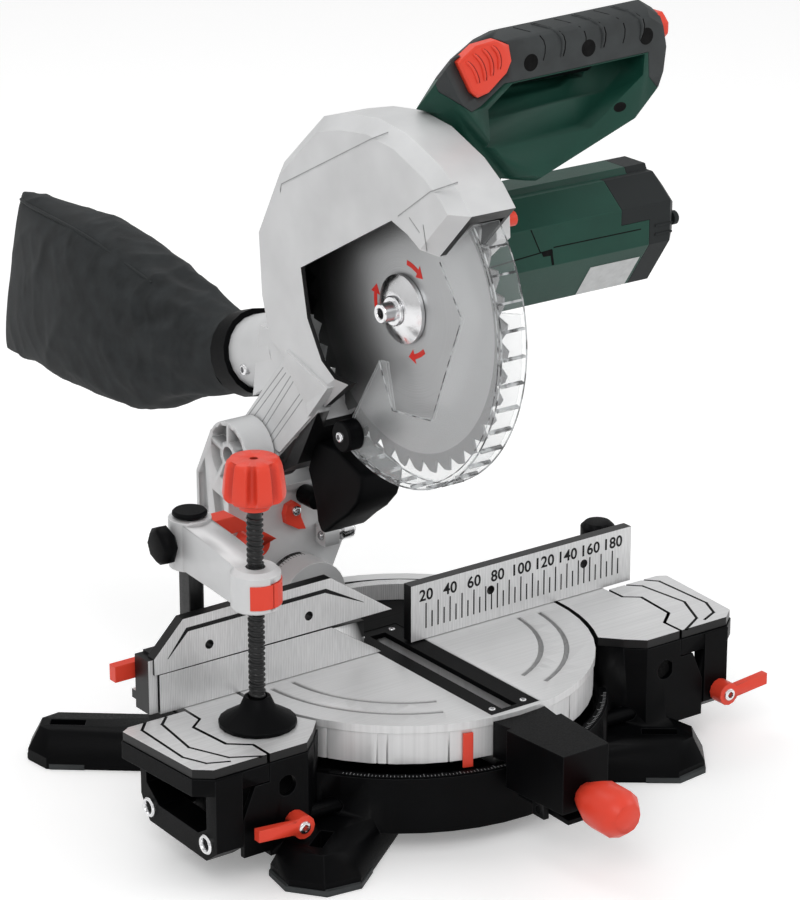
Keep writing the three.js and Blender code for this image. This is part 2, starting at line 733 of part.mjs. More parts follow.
function buildClamp() {
  const clamp = group(-clampX, clampY, 0);
  const nutAt = [0, -clampReach];
  piece('clamp_post', cut(rod('z', [0, 0], postRadius, -postBottom, postTop),
    box([-postRadius - 1, -postFlat], [-postRadius, postRadius], [fenceLift, postTop + overrun]),
  ), blackCast, clamp);

  const side = [[clampRearRadius / 2, clampArmTop], [-clampReach / 2, clampArmTop - 5],
    [-clampReach, nutTop], [-clampReach, nutBottom], [-clampReach / 2, nutBottom + 3],
    [clampRearRadius / 2, clampArmBottom]];
  const buttonAngles = [-80, 12];
  const pocketLow = nutBottom + 3;
  const pocketHigh = nutTop - 6;
  const postBore = cut(rod('z', [0, 0], postRadius + gap, 0, knobTop),
    box([-postRadius - 1, -postFlat - gap], [-postRadius - 1, postRadius + 1], [-1, knobTop + 1]));
  piece('clamp_arm', cut(join(
    prism('x', side, -clampArmHalf, clampArmHalf),
    rod('z', [0, 0], clampRearRadius, clampArmBottom - 2, clampArmTop),
    turned('z', nutAt, [[0, nutBottom], [nutRadius - 1, nutBottom], [nutRadius, nutBottom + 1],
      [nutRadius, nutTop - 2], [nutRadius - 3, nutTop + 1], [0, nutTop + 1]], 32),
  ), postBore,
  rod('z', nutAt, spindleRadius + gap, 0, knobTop),
  rod('x', [0, thumbScrewZ], 3.4, -clampRearRadius - 1, -postFlat, coarse),
  sector('z', nutRadius + overrun, nutRadius - 5, buttonAngles[0] - 7, buttonAngles[1] + 7,
    pocketLow, pocketHigh, 8, nutAt)), castSilver, clamp);
  piece('clamp_release', sector('z', nutRadius + 0.8, nutRadius - 3, ...buttonAngles,
    pocketLow + 0.5, pocketHigh - 0.5, 8, nutAt), red, clamp);
  const head = -clampRearRadius - 1;
  piece('clamp_thumb_screw', join(
    rod('x', [0, thumbScrewZ], 3, head - 2, -postFlat - gap, coarse),
    turned('x', [0, thumbScrewZ], [[0, head - 11], [10, head - 11], [13, head - 8], [13, head - 3],
      [9, head], [0, head]], 8),
  ), blackPlastic, clamp);

  piece('clamp_spindle', rod('z', nutAt, spindleRadius, padHeight - 8, knobBottom - gap, coarse),
    blackPlastic, clamp);
  piece('clamp_pad', cut(turned('z', nutAt, [[0, fenceLift], [padRadius, fenceLift],
    [padRadius, padEdge], [12, 11], [8.5, padHeight], [0, padHeight]]),
  rod('z', nutAt, spindleRadius + gap, padHeight - 8 - gap, padHeight + overrun, coarse),
  ), blackPlastic, clamp);
  const flutes = Array.from({ length: 8 }, (_, i) =>
    rod('z', polar(knobRadius + 1, i * 45, nutAt), 3, knobBottom + 13, knobTop + overrun, 8));
  piece('clamp_knob', cut(turned('z', nutAt, [[0, knobBottom], [8, knobBottom], [10, knobBottom + 5],
    [knobRadius, knobBottom + 12], [knobRadius + 1, knobBottom + 17], [knobRadius - 1, knobTop - 3],
    [knobRadius - 4, knobTop], [0, knobTop]]), ...flutes,
  rod('z', nutAt, 2, knobTop - 6, knobTop + overrun, 8)), red, clamp);
}

// Tilt joint and hinge

// Pockets between the spokes of the hinge boss, sunk from one face to another
function bossPockets(face, deep) {
  const ring = tube('x', [hingeY, hingeZ], bossRadius - 3, hingePinRadius + 4, face, deep, round);
  const spokes = Array.from({ length: spokeCount }, (_, i) =>
    box([face - overrun, deep + overrun], [0, bossRadius], [-spokeWidth / 2, spokeWidth / 2])
      .rotate([90 + i * 360 / spokeCount, 0, 0]).translate([0, hingeY, hingeZ]));
  return cut(ring, ...spokes);
}

const earOutline = [[tiltFront, 40], [tiltBack, 40], [tiltBack, 86], [149, 121], [hingeY, hingeZ],
  [111, 92], [tiltFront, 76]];

function tiltCasting() {
  const bridge = prism('y', [[-24, -18], [24, -18], [31, 2], [earRightOuter, 42],
    [earRightOuter, tiltTop], [-earOuter, tiltTop], [-earOuter, 42], [-31, 2]], tiltFront, tiltBack);
  const hollow = prism('y', [[-16, 6], [16, 6], [earRightOuter - 8, 46], [earRightOuter - 8, tiltTop - 8],
    [8 - earOuter, tiltTop - 8], [8 - earOuter, 46]], tiltFront + 8, tiltBack + overrun);
  const ears = [[-earOuter, -earInner], [earRightInner, earRightOuter]].flatMap(([low, high]) => [
    prism('x', earOutline, low, high),
    rod('x', [hingeY, hingeZ], bossRadius, low, high, 32),
  ]);
  const pockets = [[[150, 56], [tiltBack, 56], [tiltBack, 86], [155, 108]],
    [[tiltFront, 54], [147, 56], [152, 82], [133, 78]]].map((shape) =>
    prism('x', inset(shape, 3), -earOuter - overrun, 5 - earOuter));
  const stopLug = box([19, 31], [116, tiltFront + 1], [29, 43]);
  return cut(join(rod('y', [0, 0], tiltRadius, tiltFront, tiltBack - 6, 32), bridge, ...ears, stopLug),
    hollow, ...pockets, bossPockets(-earOuter - overrun, pocketDepth - earOuter),
    rod('x', [hingeY, hingeZ], hingePinRadius + gap, -guardSize, guardSize),
    rod('x', [121, 36], 3.4, 10, 40, coarse),
    rod('y', [-38, 45], 5.3, tiltFront - overrun, tiltFront + 8 + overrun, coarse),
    rod('y', [pinX, pinZ], 4.3, tiltFront - overrun, tiltFront + 8 + overrun, coarse));
}

// Torsion spring: one round wire with a straight tail of one wire width at each end
function torsionSpring() {
  const stepsPerCoil = 12;
  const sides = 6;
  const total = springCoils * stepsPerCoil;
  const path = Array.from({ length: total + 1 }, (_, i) => {
    const [y, z] = polar(springRadius, i / stepsPerCoil * 360);
    return new THREE.Vector3(springCentre + (i / total - 0.5) * springCoils * springPitch, y, z);
  });
  const tail = (end, before) => end.clone().sub(before).setLength(2 * springWire).add(end);
  path.unshift(tail(path[0], path[1]));
  path.push(tail(path[path.length - 1], path[path.length - 2]));
  reportGap(path, stepsPerCoil);
  const points = path.flatMap((at, i) => {
    const forward = path[Math.min(i + 1, path.length - 1)].clone().sub(path[Math.max(i - 1, 0)]).normalize();
    const across = new THREE.Vector3().crossVectors(axisX, forward).normalize();
    const up = new THREE.Vector3().crossVectors(forward, across);
    return Array.from({ length: sides }, (_, k) => {
      const [u, v] = polar(springWire, k / sides * 360);
      return at.clone().addScaledVector(across, u).addScaledVector(up, v);
    });
  });
  return solid(loft(points, sides));
}

// Closed skin through rings of points, one after another
function loft(points, sides) {
  const rings = points.length / sides;
  const index = [];
  for (let i = 0; i + 1 < rings; i += 1) {
    for (let k = 0; k < sides; k += 1) {
      const [a, b] = [i * sides + k, i * sides + (k + 1) % sides];
      index.push(a, b, b + sides, a, b + sides, a + sides);
    }
  }
  const last = (rings - 1) * sides;
  for (let k = 1; k + 1 < sides; k += 1) index.push(0, k + 1, k, last, last + k, last + k + 1);
  const geometry = new THREE.BufferGeometry().setFromPoints(points);
  geometry.setIndex(index);
  return geometry;
}

function reportGap(path, stepsPerCoil) {
  const far = Math.floor(stepsPerCoil * 0.6);
  const distances = path.flatMap((a, i) => path.slice(i + far).map((b) => a.distanceTo(b)));
  const least = Math.min(...distances) - 2 * springWire;
  console.log(`head return spring: least gap to itself ${least.toFixed(2)} mm`);
}

function buildTilt() {
  piece('tilt_casting', tiltCasting(), castSilver, saw);
  piece('hinge_pin', rod('x', [hingeY, hingeZ], hingePinRadius, -46, 46), steel, saw);
  piece('bevel_pointer', prism('y', [[-9, 57], [-7, 63], [-1, 65], [4, 61], [4, 53], [8, 43], [2, 44],
    [-8, 50]], tiltFront - 5, tiltFront - gap), red, saw);
  piece('bevel_stop_screw', join(rod('x', [121, 36], 3, 18, 36, coarse),
    turned('x', [121, 36], [[0, 35], [6.5, 35], [6.5, 43], [5, 45], [0, 45]], 12)), steel, saw);
  piece('bevel_lock_lever', join(
    rod('y', [-38, 45], 9, tiltFront - 16, tiltFront - gap, round),
    rod('y', [-38, 45], 5, tiltFront - 1, tiltFront + 8 - gap, coarse),
    prism('y', [[-44, 50], [-60, 64.5], [-88, 64.5], [-93, 76.5], [-66, 76.5], [-33, 53]], 99, 113),
  ), red, saw);
  piece('transport_pin', join(
    turned('y', [pinX, pinZ], [[0, 110], [5, 110], [7, 112], [7, tiltFront - gap], [0, tiltFront - gap]], coarse),
    rod('y', [pinX, pinZ], 4, tiltFront - 1, tiltFront + 12, coarse),
  ), blackPlastic, saw);
  const hinge = group(0, hingeY, hingeZ);
  piece('head_return_spring', torsionSpring(), steel, hinge);
  return hinge;
}

// Head

const armShares = [[-0.2, 0.354], [-0.383, 0.2605], [-0.244, 0.011], [-0.108, -0.07], [0.103, 0.076]];
const armLineShares = [[-0.345, 0.27], [-0.17, -0.01], [-0.162, -0.002], [-0.337, 0.278]];

const alongPort = (shape) => shape.rotate([-portFall, 0, 0]).translate([0, portY, portZ]);

function swingArm() {
  const lugs = [[2 - earInner, -8], [18, armRight]].map(([low, high]) =>
    rod('x', [0, 0], lugRadius, low, high, 32));
  const body = prism('x', scaled(armShares, armSize), -armLeft, armRight);
  const lines = [0, 0.045, 0.09].map((shift) => prism('x',
    scaled(armLineShares.map(([y, z]) => [y + shift, z + 0.45 * shift]), armSize),
    -armLeft - overrun, 1.2 - armLeft));
  const port = alongPort(tube('y', [0, 0], portRadius, portRadius - portWall, portStart, portLength));
  const web = box([-10, 10], [104, 128], [150, 176]);
  const portBore = alongPort(rod('y', [0, 0], portRadius - portWall, -40, 2 * portLength));
  return cut(join(...lugs, body, join(port, web).translate([0, -hingeY, -hingeZ])), ...lines,
    portBore.translate([0, -hingeY, -hingeZ]),
    rod('x', [0, 0], springClear, -8, 18, 32),
    rod('x', [0, 0], hingePinRadius + gap, -guardSize, guardSize),
    rod('x', [arborY - hingeY, arborZ - hingeZ], bladeSpace, -bladeSpaceLeft, bladeSpaceRight, fine));
}

const guardAngles = [-23, -8, 12, 36, 63, 76, 90, 104, 120, 130, 138];
const guardRadii = [130, 131, 136, 131, 132, 129, 129, 129, 130, 131, 131];
const guardRightShares = [[-0.5, 0.42], [-0.36, -0.12], [0.1, -0.36], [0.474, -0.616]];
const guardWindowShares = [[-0.762, 0.67], [-0.5, 0.415], [-0.33, 0.5], [-0.2, 0.538], [0.577, 0.108],
  [0.523, -0.146], [0.4, -0.338], [0.238, -0.431], [0.469, -0.614], [0.3, -1.2], [-1.2, -1.2], [-1.3, 0.6]];

// Shell open below and to the front, with a full wall only on the motor side
function upperGuard() {
  const shape = [...guardAngles.map((angle, i) => polar(guardRadii[i], angle)),
    ...scaled(guardRightShares, guardSize)];
  const beyond = (x) => box([x, 3 * guardSize], [-2 * guardSize, 2 * guardSize],
    [-2 * guardSize, 2 * guardSize]);
  const long = guardRight + 3 * guardChamfer;
  const outer = cut(chamfered('x', shape, -guardLeft, long, guardChamfer), beyond(guardRight));
  const inner = cut(chamfered('x', shape, guardWall - guardLeft, long, guardChamfer, guardWall),
    beyond(guardRight - guardWall));
  const window = prism('x', scaled(guardWindowShares, guardSize), -guardLeft - overrun,
    guardRight - guardWall);
  const portHole = rod('y', [0, 0], 22, -40, portStart + overrun)
    .rotate([-portFall, 0, 0]).translate([0, portY - arborY, portZ - arborZ]);
  const shell = cut(outer, inner, window, portHole,
    rod('x', [0, 0], bladeSpace, -bladeSpaceLeft, guardRight - guardWall, fine),
    rod('x', [0, 0], pivotRingInner, 0, guardRight + overrun));
  return join(shell, tube('x', [0, 0], pivotRingOuter, pivotRingInner, 5.5, guardRight - 1, 32),
    tube('x', [0, 0], pivotRingOuter, arborRadius + 1, guardRight - guardWall, guardRight, 32));
}

const lowerInner = [[297, 0.79], [289, 0.33], [278, 0.31], [268, 0.57], [234, 0.65], [169, 0.66], [138, 0.6]];

function lowerGuard() {
  const steps = 28;
  const rim = sector('x', lowerRadius, lowerRadius - lowerWall, lowerStart, lowerEnd, -lowerLeft,
    lowerRight, steps);
  const leftPlate = prism('x', [...arc(lowerRadius, lowerStart, lowerEnd, steps),
    ...lowerInner.map(([angle, share]) => polar(share * lowerRadius, angle))],
  -lowerLeft, lowerWall - lowerLeft);
  const rightPlate = sector('x', lowerRadius, lowerHubInner + 1, lowerStart + 30, lowerEnd - 10,
    lowerRight - 2, lowerRight, steps);
  const hub = tube('x', [0, 0], lowerHubOuter, lowerHubInner, lowerRight - 2, lowerRight, 32);
  return join(rim, leftPlate, rightPlate, hub);
}

function sawBlade() {
  const points = Array.from({ length: bladeTeeth }, (_, i) => {
    const start = i * 360 / bladeTeeth;
    return [polar(bladeRadius, start), polar(bladeRadius - 1.4, start + 2.8),
      polar(bladeRadius - toothDepth, start + 6.6)];
  }).flat();
  const half = bladeThickness / 2;
  return cut(prism('x', points, -half, half), rod('x', [0, 0], arborRadius + gap, -overrun, overrun));
}

// Tooth corners as shares of the pitch either side of its middle, and rise over the pitch circle
const toothCorners = [[-0.22, -1.2], [-0.1, 0.8], [0.1, 0.8], [0.22, -1.2]];

const gearOutline = (teeth, phase) => Array.from({ length: teeth }, (_, i) =>
  toothCorners.map(([share, rise]) =>
    polar(teeth * gearModule / 2 + rise, phase + (i + share) * 360 / teeth))).flat();

const motorAt = polar((gearTeeth + pinionTeeth) * gearModule / 2, motorAngle);
const motorShares = [[-1, -0.145], [-1, 0.59], [-0.49, 1], [0.49, 1], [1, 0.59], [1, -0.145], [0.42, -1],
  [-0.42, -1]];
const motorOutline = (radius) => scaled(motorShares, radius, motorAt);

function gearHousing() {
  const wallEnd = housingStart + housingWall;
  const bossEnd = housingEnd - 4;
  const lockBoss = prism('x', [[-61, 84], [-77, 79], [-78, 62], [-30, 20], [0, 30], [-10, 50]],
    housingStart, 24);
  return cut(join(rod('x', motorAt, housingRadius, housingStart, housingEnd, 32),
    rod('x', [0, 0], gearBossRadius, housingStart, bossEnd, 32), lockBoss),
  rod('x', motorAt, housingRadius - housingWall, wallEnd, housingEnd + overrun, 32),
  rod('x', [0, 0], gearBossRadius - housingWall, wallEnd, bossEnd - housingWall, 32),
  rod('x', [0, 0], arborRadius + 1, 0, wallEnd + 1),
  rod('x', [lockPinY, lockPinZ], lockPinRadius + gap, 0, housingEnd, coarse));
}

// What belongs to the end cap: all of the far end, and more of the upper front
function capZone(spread) {
  const far = 2 * capEnd;
  const width = [-guardSize, guardSize];
  return join(box([motorEnd + spread, far], width, width),
    box([motorUpperEnd + spread, far], [-guardSize, motorAt[0] - motorUpperBack - spread],
      [motorAt[1] + motorParting + spread, guardSize]));
}

// Housing and cap in one, hollow
function motorBody() {
  const start = housingEnd + gap;
  const far = start - 2 * capChamfer;
  const shape = (radius, end) => chamfered('x', motorOutline(radius), far, end, capChamfer);
  const front = box([0, start], [-guardSize, guardSize], [-guardSize, guardSize]);
  const ridge = prism('x', scaled([[-0.35, 0.97], [0.35, 0.97], [0.28, 1.1], [-0.28, 1.1]], motorRadius,
    motorAt), start, capEnd - capChamfer);
  const inside = cut(shape(motorRadius - motorWall, capEnd - motorWall),
    box([0, start + motorWall], [-guardSize, guardSize], [-guardSize, guardSize]));
  return cut(join(shape(motorRadius, capEnd), ridge), front, inside);
}

function motorHousing() {
  const ribs = [statorStart + 6, statorStart + statorLength - 10].map((x) =>
    cut(prism('x', motorOutline(motorRadius - 1), x, x + 4),
      rod('x', motorAt, statorRadius + gap, x - 1, x + 5, 32)));
  return cut(join(cut(motorBody(), capZone(0)), ...ribs),
    rod('x', motorAt, 9, 0, housingEnd + gap + 2 * motorWall));
}

function motorEndCap() {
  const vents = [-15, -5, 5, 15].map((shift) =>
    box([capEnd - 10, capEnd + overrun], [motorAt[0] - 18, motorAt[0] + 18],
      [motorAt[1] + shift - 1.5, motorAt[1] + shift + 1.5]));
  return cut(motorBody().intersect(capZone(gap)), ...vents);
}

function armature() {
  const pinion = prism('x', gearOutline(pinionTeeth, motorAngle + 180 + 180 / pinionTeeth), gearStart,
    gearStart + gearWidth).translate([0, ...motorAt]);
  const pinionEnd = gearStart + gearWidth;
  return join(pinion, rod('x', motorAt, shaftRadius - 0.8, gearStart - 4, pinionEnd + 2, coarse),
    rod('x', motorAt, shaftRadius, pinionEnd + 0.5, shaftEnd, coarse));
}

function buildMotor(head) {
  piece('gear_housing', gearHousing(), castSilver, head);
  piece('motor_housing', motorHousing(), green, head);
  piece('motor_end_cap', motorEndCap(), blackPlastic, head);
  const statorEnd = statorStart + statorLength;
  piece('stator', tube('x', motorAt, statorRadius, statorBore, statorStart, statorEnd), copper, head);
  piece('armature_shaft', armature(), steel, head);
  piece('armature_core', tube('x', motorAt, coreRadius, shaftRadius + gap, statorStart + 3,
    statorEnd - 3), copper, head);
  const vanes = Array.from({ length: fanBlades }, (_, i) =>
    box([fanStart, fanStart + fanWidth], [9, fanRadius], [-1, 1]).rotate([i * 360 / fanBlades, 0, 0])
      .translate([0, ...motorAt]));
  piece('cooling_fan', join(
    tube('x', motorAt, fanRadius, shaftRadius + gap, fanStart, fanStart + 2),
    tube('x', motorAt, 11, shaftRadius + gap, fanStart, fanStart + fanWidth), ...vanes,
  ), blackPlastic, head);
  piece('drive_gear', cut(prism('x', gearOutline(gearTeeth, motorAngle), gearStart, gearStart + gearWidth),
    rod('x', [0, 0], arborRadius + gap, 0, guardSize)), steel, head);
}

function buildBlade(head) {
  piece('saw_blade', sawBlade(), steel, head);
  const bore = rod('x', [0, 0], arborRadius + gap, -4 * overrun, 4 * overrun);
  const face = bladeThickness / 2 + gap;
  piece('outer_flange', cut(turned('x', [0, 0], [[0, -8.6], [14, -8.6], [flangeRadius - 2, -5],
    [flangeRadius, -4], [flangeRadius, -face], [0, -face]], 32), bore), steel, head);
  piece('inner_flange', cut(rod('x', [0, 0], flangeRadius - 1, face, 5, 32), bore), steel, head);
  piece('arbor_shaft', rod('x', [0, 0], arborRadius, -8.6, 44), steel, head);
  piece('arbor_bolt', cut(turned('x', [0, 0], [[0, -boltEnd], [boltRadius, -boltEnd], [boltRadius, -12],
    [10, -11], [10, -8.9], [0, -8.9]]), rod('x', [0, 0], 3.4, -boltEnd - 1, 8 - boltEnd, 6)), steel, head);
}

const chuteOutline = [[85.2, 104], [71.2, 129], [51.5, 128], [19.8, 117.5], [26, 96], [51, 75.3], [57, 70],
  [66, 62], [74, 90]];

// Hollow, with its mouth towards the blade
function chipChute() {
  const inside = [[78, 110], [69, 124], [66, 140], [19, 126], [24, 112], ...inset(chuteOutline, chuteWall)
    .slice(4)];
  return cut(prism('x', chuteOutline, -chuteHalf, chuteHalf),
    prism('x', inside, chuteWall - chuteHalf, chuteHalf - chuteWall));
}

// Handle

// The handle's outside at its front, at the middle of the grip and near its back
const handleFrontOutline = [[16, 378], [4, 400], [11, 407], [40, 412], [60, 409], [168, 411.5], [180, 404],
  [183, 390], [181, 374], [177, 364], [158, 346], [82, 319], [60, 324]];
const handleMiddleOutline = [[12, 372], [17, 393], [27, 402.5], [45, 412.5], [58, 416], [172, 419.5],
  [183, 413], [188, 398], [188, 378], [182, 366], [160, 341], [81, 313], [60, 318]];
const handleBackOutline = [[6, 366], [20, 380], [32, 390], [50, 401], [64, 405], [166, 408], [178, 401],
  [182, 388], [180, 374], [175, 364], [153, 341], [88, 316], [62, 321]];
const gripZone = [[-30, 396], [2, 396], [20, 385], [58, 385], [168, 388.5], [169, 372], [176, 364],
  [230, 364], [230, 450], [-30, 450]];
const gripCornerOutline = [[-9, 397], [15.8, 377], [25, 370.5], [32, 373], [52, 386], [60, 392], [60, 402],
  [-9, 402]];
const recessOutline = [[38, 370], [57, 384], [165, 387.5], [164, 374], [122, 345], [40, 344]];
const recessLedges = [[[0, 300], [36, 366], [112, 369], [136, 382], [200, 382], [200, 300]],
  [[0, 300], [33, 357.6], [117, 361.6], [200, 361.6], [200, 300]]];
const slideOutline = [[11.7, 404.5], [25.7, 413.3], [42, 414.7], [51.6, 410.2], [54, 399.6], [50.3, 392.4],
  [36.2, 381.7], [27.5, 379.7], [22.8, 383.7]];
const triggerOutline = [[-30, 393], [-30, 382], [-26, 379], [-11, 379], [-7, 382], [-7, 393]];
const neckOutline = [[20, 350], [62, 326], [49.5, 304.6], [49.5, neckBottom], [26, neckBottom],
  [26, 304.6], [18, 304.6]];

const triggerSpace = () => box([triggerStart - 2 * gap, triggerEnd + 2 * gap],
  [triggerOutline[0][0] - 2 * gap, triggerOutline[5][0] + 2 * gap],
  [triggerOutline[2][1] - triggerLift, triggerOutline[0][1] + triggerLift + gap]);

const mixed = (from, to, share) => from.map(([x, z], i) =>
  [x + (to[i][0] - x) * share, z + (to[i][1] - z) * share]);

// The handle's outside, one skin round rings of points across its depth
function handleBody() {
  const middle = handleBackOutline.map(() => handleMiddle);
  const rings = [[0, handleFrontOutline], [0.15, mixed(handleFrontOutline, handleMiddleOutline, 0.62)],
    [0.42, handleMiddleOutline], [0.72, mixed(handleMiddleOutline, handleBackOutline, 0.35)],
    [0.9, handleBackOutline], [1, mixed(handleBackOutline, middle, 0.2)]];
  return wasm.Manifold.hull(rings.flatMap(([depth, line]) =>
    line.map(([x, z]) => [x, handleFront + depth * handleDepth, z])));
}

// Finger recess, shallower below each ledge
function handleRecess() {
  const near = 2 * handleFront;
  const whole = prism('y', recessOutline, near, recessBack);
  return cut(whole, ...recessLedges.map((ledge, i) =>
    prism('y', ledge, recessBack - (i + 1) * recessStep, recessBack + overrun)));
}

const cornerZone = (spread) =>
  prism('y', inset(gripCornerOutline, -spread), 2 * handleFront, gripCornerBack + spread);

function handleShell(headSpace) {
  const motorMiddle = [motorAt[0] + arborY, motorAt[1] + arborZ];
  const neck = cut(prism('y', neckOutline, -28, handleBack - 6),
    rod('x', motorMiddle, housingRadius + gap, 0, 2 * housingEnd, 32));
  return cut(join(handleBody(), neck),
    prism('y', inset(gripZone, -gap), 2 * handleFront, -handleFront),
    cornerZone(gap), handleRecess(), triggerSpace(), headSpace);
}

function handleGrip() {
  const zone = join(prism('y', gripZone, 2 * handleFront, -handleFront), cornerZone(0));
  return cut(handleBody().intersect(zone), triggerSpace(),
    prism('y', inset(slideOutline, -2 * gap), 2 * handleFront, handleFront + slideSeat + slideLift + gap),
    box([buttonStart - 2 * gap - buttonLift, 2 * buttonEnd], [buttonFront - 2 * gap, buttonBack + 2 * gap],
      [buttonLow - 2 * gap, buttonHigh + 2 * gap]));
}

function buildHandle() {
  const headSpace = rod('x', [arborY, arborZ], 131.5, -guardLeft - 1, guardRight + 1, fine);
  piece('handle_shell', handleShell(headSpace), green, saw);
  piece('handle_grip', handleGrip(), rubber, saw);
  piece('trigger', chamfered('x', triggerOutline, triggerStart, triggerEnd, 1), blackPlastic, saw);
  piece('lock_off_slide', chamfered('y', slideOutline, handleFront - slideLift, handleFront + slideSeat,
    1.5), red, saw);
  const corner = 2 * buttonRound;
  const [near, far, low, high] = [buttonFront, buttonBack, buttonLow, buttonHigh];
  piece('lock_off_button', chamfered('x', [[near + corner, low], [far - corner, low], [far, low + corner],
    [far, high - corner], [far - corner, high], [near + corner, high], [near, high - corner],
    [near, low + corner]], buttonStart, buttonEnd, buttonRound), red, saw);
}

// Dust bag: sections of [y, middle height, half height, half width]
const bagSections = [[188, 153, 28, 28], [215, 150, 28, 30], [251, 158, 34, 36], [300, 143, 56, 41],
  [342, 138, 63, 44], [430, 141, 64, 44], [505, 143, 62, 30], [519, 142, 58, 12]];

function dustBag() {
  const square = (value) => Math.sign(value) * Math.sqrt(Math.abs(value));
  return solid(loft(bagSections.flatMap(([y, z, halfHeight, halfWidth], row) =>
    Array.from({ length: bagSides }, (_, k) => {
      const [across, up] = polar(1, (k + 0.5) / bagSides * 360).map(row < 2 ? Number : square);
      return new THREE.Vector3(across * halfWidth, y, z + up * halfHeight);
    })), bagSides));
}

function buildHead(hinge) {
  const head = group(0, arborY, arborZ);
  piece('swing_arm', swingArm(), castSilver, hinge);
  piece('upper_guard', upperGuard(), castSilver, head);
  piece('lower_guard', lowerGuard(), clear, head);
  buildBlade(head);
  buildMotor(head);
  piece('spindle_lock', rod('x', [lockPinY, lockPinZ], lockPinRadius, lockPinStart, lockPinEnd, coarse), red,
    head);
  piece('chip_chute', chipChute(), blackPlastic, saw);
  piece('bag_collar', alongPort(tube('y', [0, 0], portRadius + gap + collarWall, portRadius + gap,
    collarStart, collarStart + collarLength)), blackPlastic, saw);
  piece('dust_bag', dustBag(), cloth, saw);
}

buildBase();
buildFence();
buildTurntable();
buildClamp();
buildHead(buildTilt());
buildHandle();

export default saw;
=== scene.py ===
"""Looks of a compact mitre saw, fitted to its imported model.

Shapes are drawn in millimetres in the saw's own frame: x across from the blade plane, y back from
the fence face and z up from the table top. put() turns them into the row frame, in metres.
"""

import json
import math
from functools import cache

import bmesh
import bpy
from bpy.props import FloatProperty, FloatVectorProperty, IntProperty, PointerProperty
from mathutils import Matrix, Vector, noise
from mathutils.bvhtree import BVHTree


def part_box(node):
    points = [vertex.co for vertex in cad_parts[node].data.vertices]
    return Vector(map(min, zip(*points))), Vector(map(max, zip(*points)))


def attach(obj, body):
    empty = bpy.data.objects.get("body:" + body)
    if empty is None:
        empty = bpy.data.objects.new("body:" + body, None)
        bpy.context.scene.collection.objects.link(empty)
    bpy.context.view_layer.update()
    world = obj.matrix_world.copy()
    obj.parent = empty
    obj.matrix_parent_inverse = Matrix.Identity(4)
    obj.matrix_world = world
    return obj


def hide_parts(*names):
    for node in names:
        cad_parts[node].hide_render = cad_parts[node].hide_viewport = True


bl_info = {
    "name": "Mitre Saw Finish",
    "version": (1, 0, 0),
    "blender": (4, 5, 0),
    "location": "3D View > Sidebar > Mitre Saw",
    "description": "Materials and fitted details of a compact mitre saw",
    "category": "Object",
}

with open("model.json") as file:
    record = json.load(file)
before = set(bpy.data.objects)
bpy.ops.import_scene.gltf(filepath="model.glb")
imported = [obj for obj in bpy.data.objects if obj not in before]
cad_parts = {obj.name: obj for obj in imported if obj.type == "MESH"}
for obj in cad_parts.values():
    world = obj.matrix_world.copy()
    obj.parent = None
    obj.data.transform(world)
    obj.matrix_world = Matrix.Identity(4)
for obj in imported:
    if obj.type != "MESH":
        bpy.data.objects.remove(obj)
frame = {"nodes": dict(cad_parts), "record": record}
NODES = frame["nodes"]
BODY_OF = {node: body for body, nodes in frame["record"]["behaviour"]["bodies"].items() for node in nodes}
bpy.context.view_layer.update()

ORIGIN = (-5.5, -140.5, 85.0)  # the saw's own frame inside the row frame
ARBOR = (-4.0, 237.0)  # y and z of the blade's axis, in the saw's own frame
CLAMP_SCREW = (-147.0, -47.0)  # x and y of the clamp's screw
CLAMP_POST = (-147.0, 28.0)  # x and y of the clamp's post
CAMERA_PLACE = (-1.29535, -1.91411, 1.02420)  # in the row frame
CAMERA_TURN = -35.995  # degrees about the upright
CAMERA_RISE = 20.05  # degrees above the level


def put(x, y, z):
    return Vector((x + ORIGIN[0], y + ORIGIN[1], z + ORIGIN[2])) / 1000


def along(axis, u, v, w):
    """The point at w on an axis, with u and v across it, in millimetres."""
    return {"x": (w, u, v), "y": (u, w, v), "z": (u, v, w)}[axis]


def polar(radius, angle, centre=(0.0, 0.0)):
    turned = math.radians(angle)
    return centre[0] + radius * math.cos(turned), centre[1] + radius * math.sin(turned)


def arc(radius, start, end, steps, centre=(0.0, 0.0)):
    return [polar(radius, start + (end - start) * i / steps, centre) for i in range(steps + 1)]


def within(value, low=0.0, high=1.0):
    return max(low, min(high, value))


# Settings that a user would change.


class SawColours(bpy.types.PropertyGroup):
    """Colours of the saw's finishes"""

    def colour(name, default, description):
        return FloatVectorProperty(name=name, description=description, default=default, subtype="COLOR",
                                   size=3, min=0.0, max=1.0)

    casting: colour("Casting", (0.66, 0.665, 0.67), "Silver paint of the guard, arm and tilt castings")
    machined: colour("Machined", (0.72, 0.722, 0.725), "Milled faces of the table and fence")
    steel: colour("Steel", (0.44, 0.445, 0.45), "Brushed steel of the blade")
    bright: colour("Bright steel", (0.78, 0.78, 0.79), "Plated screws, rings and flange")
    black: colour("Black", (0.0014, 0.0015, 0.0018), "Black paint and mouldings")
    grip: colour("Grip", (0.0380, 0.0420, 0.0430), "Soft overmould of the handle")
    green: colour("Green", (0.0072, 0.050, 0.034), "Green mouldings of the motor and handle")
    red: colour("Red", (0.82, 0.060, 0.030), "Red levers, knob and switches")
    cloth: colour("Cloth", (0.0185, 0.0205, 0.0215), "Woven cloth of the dust bag")


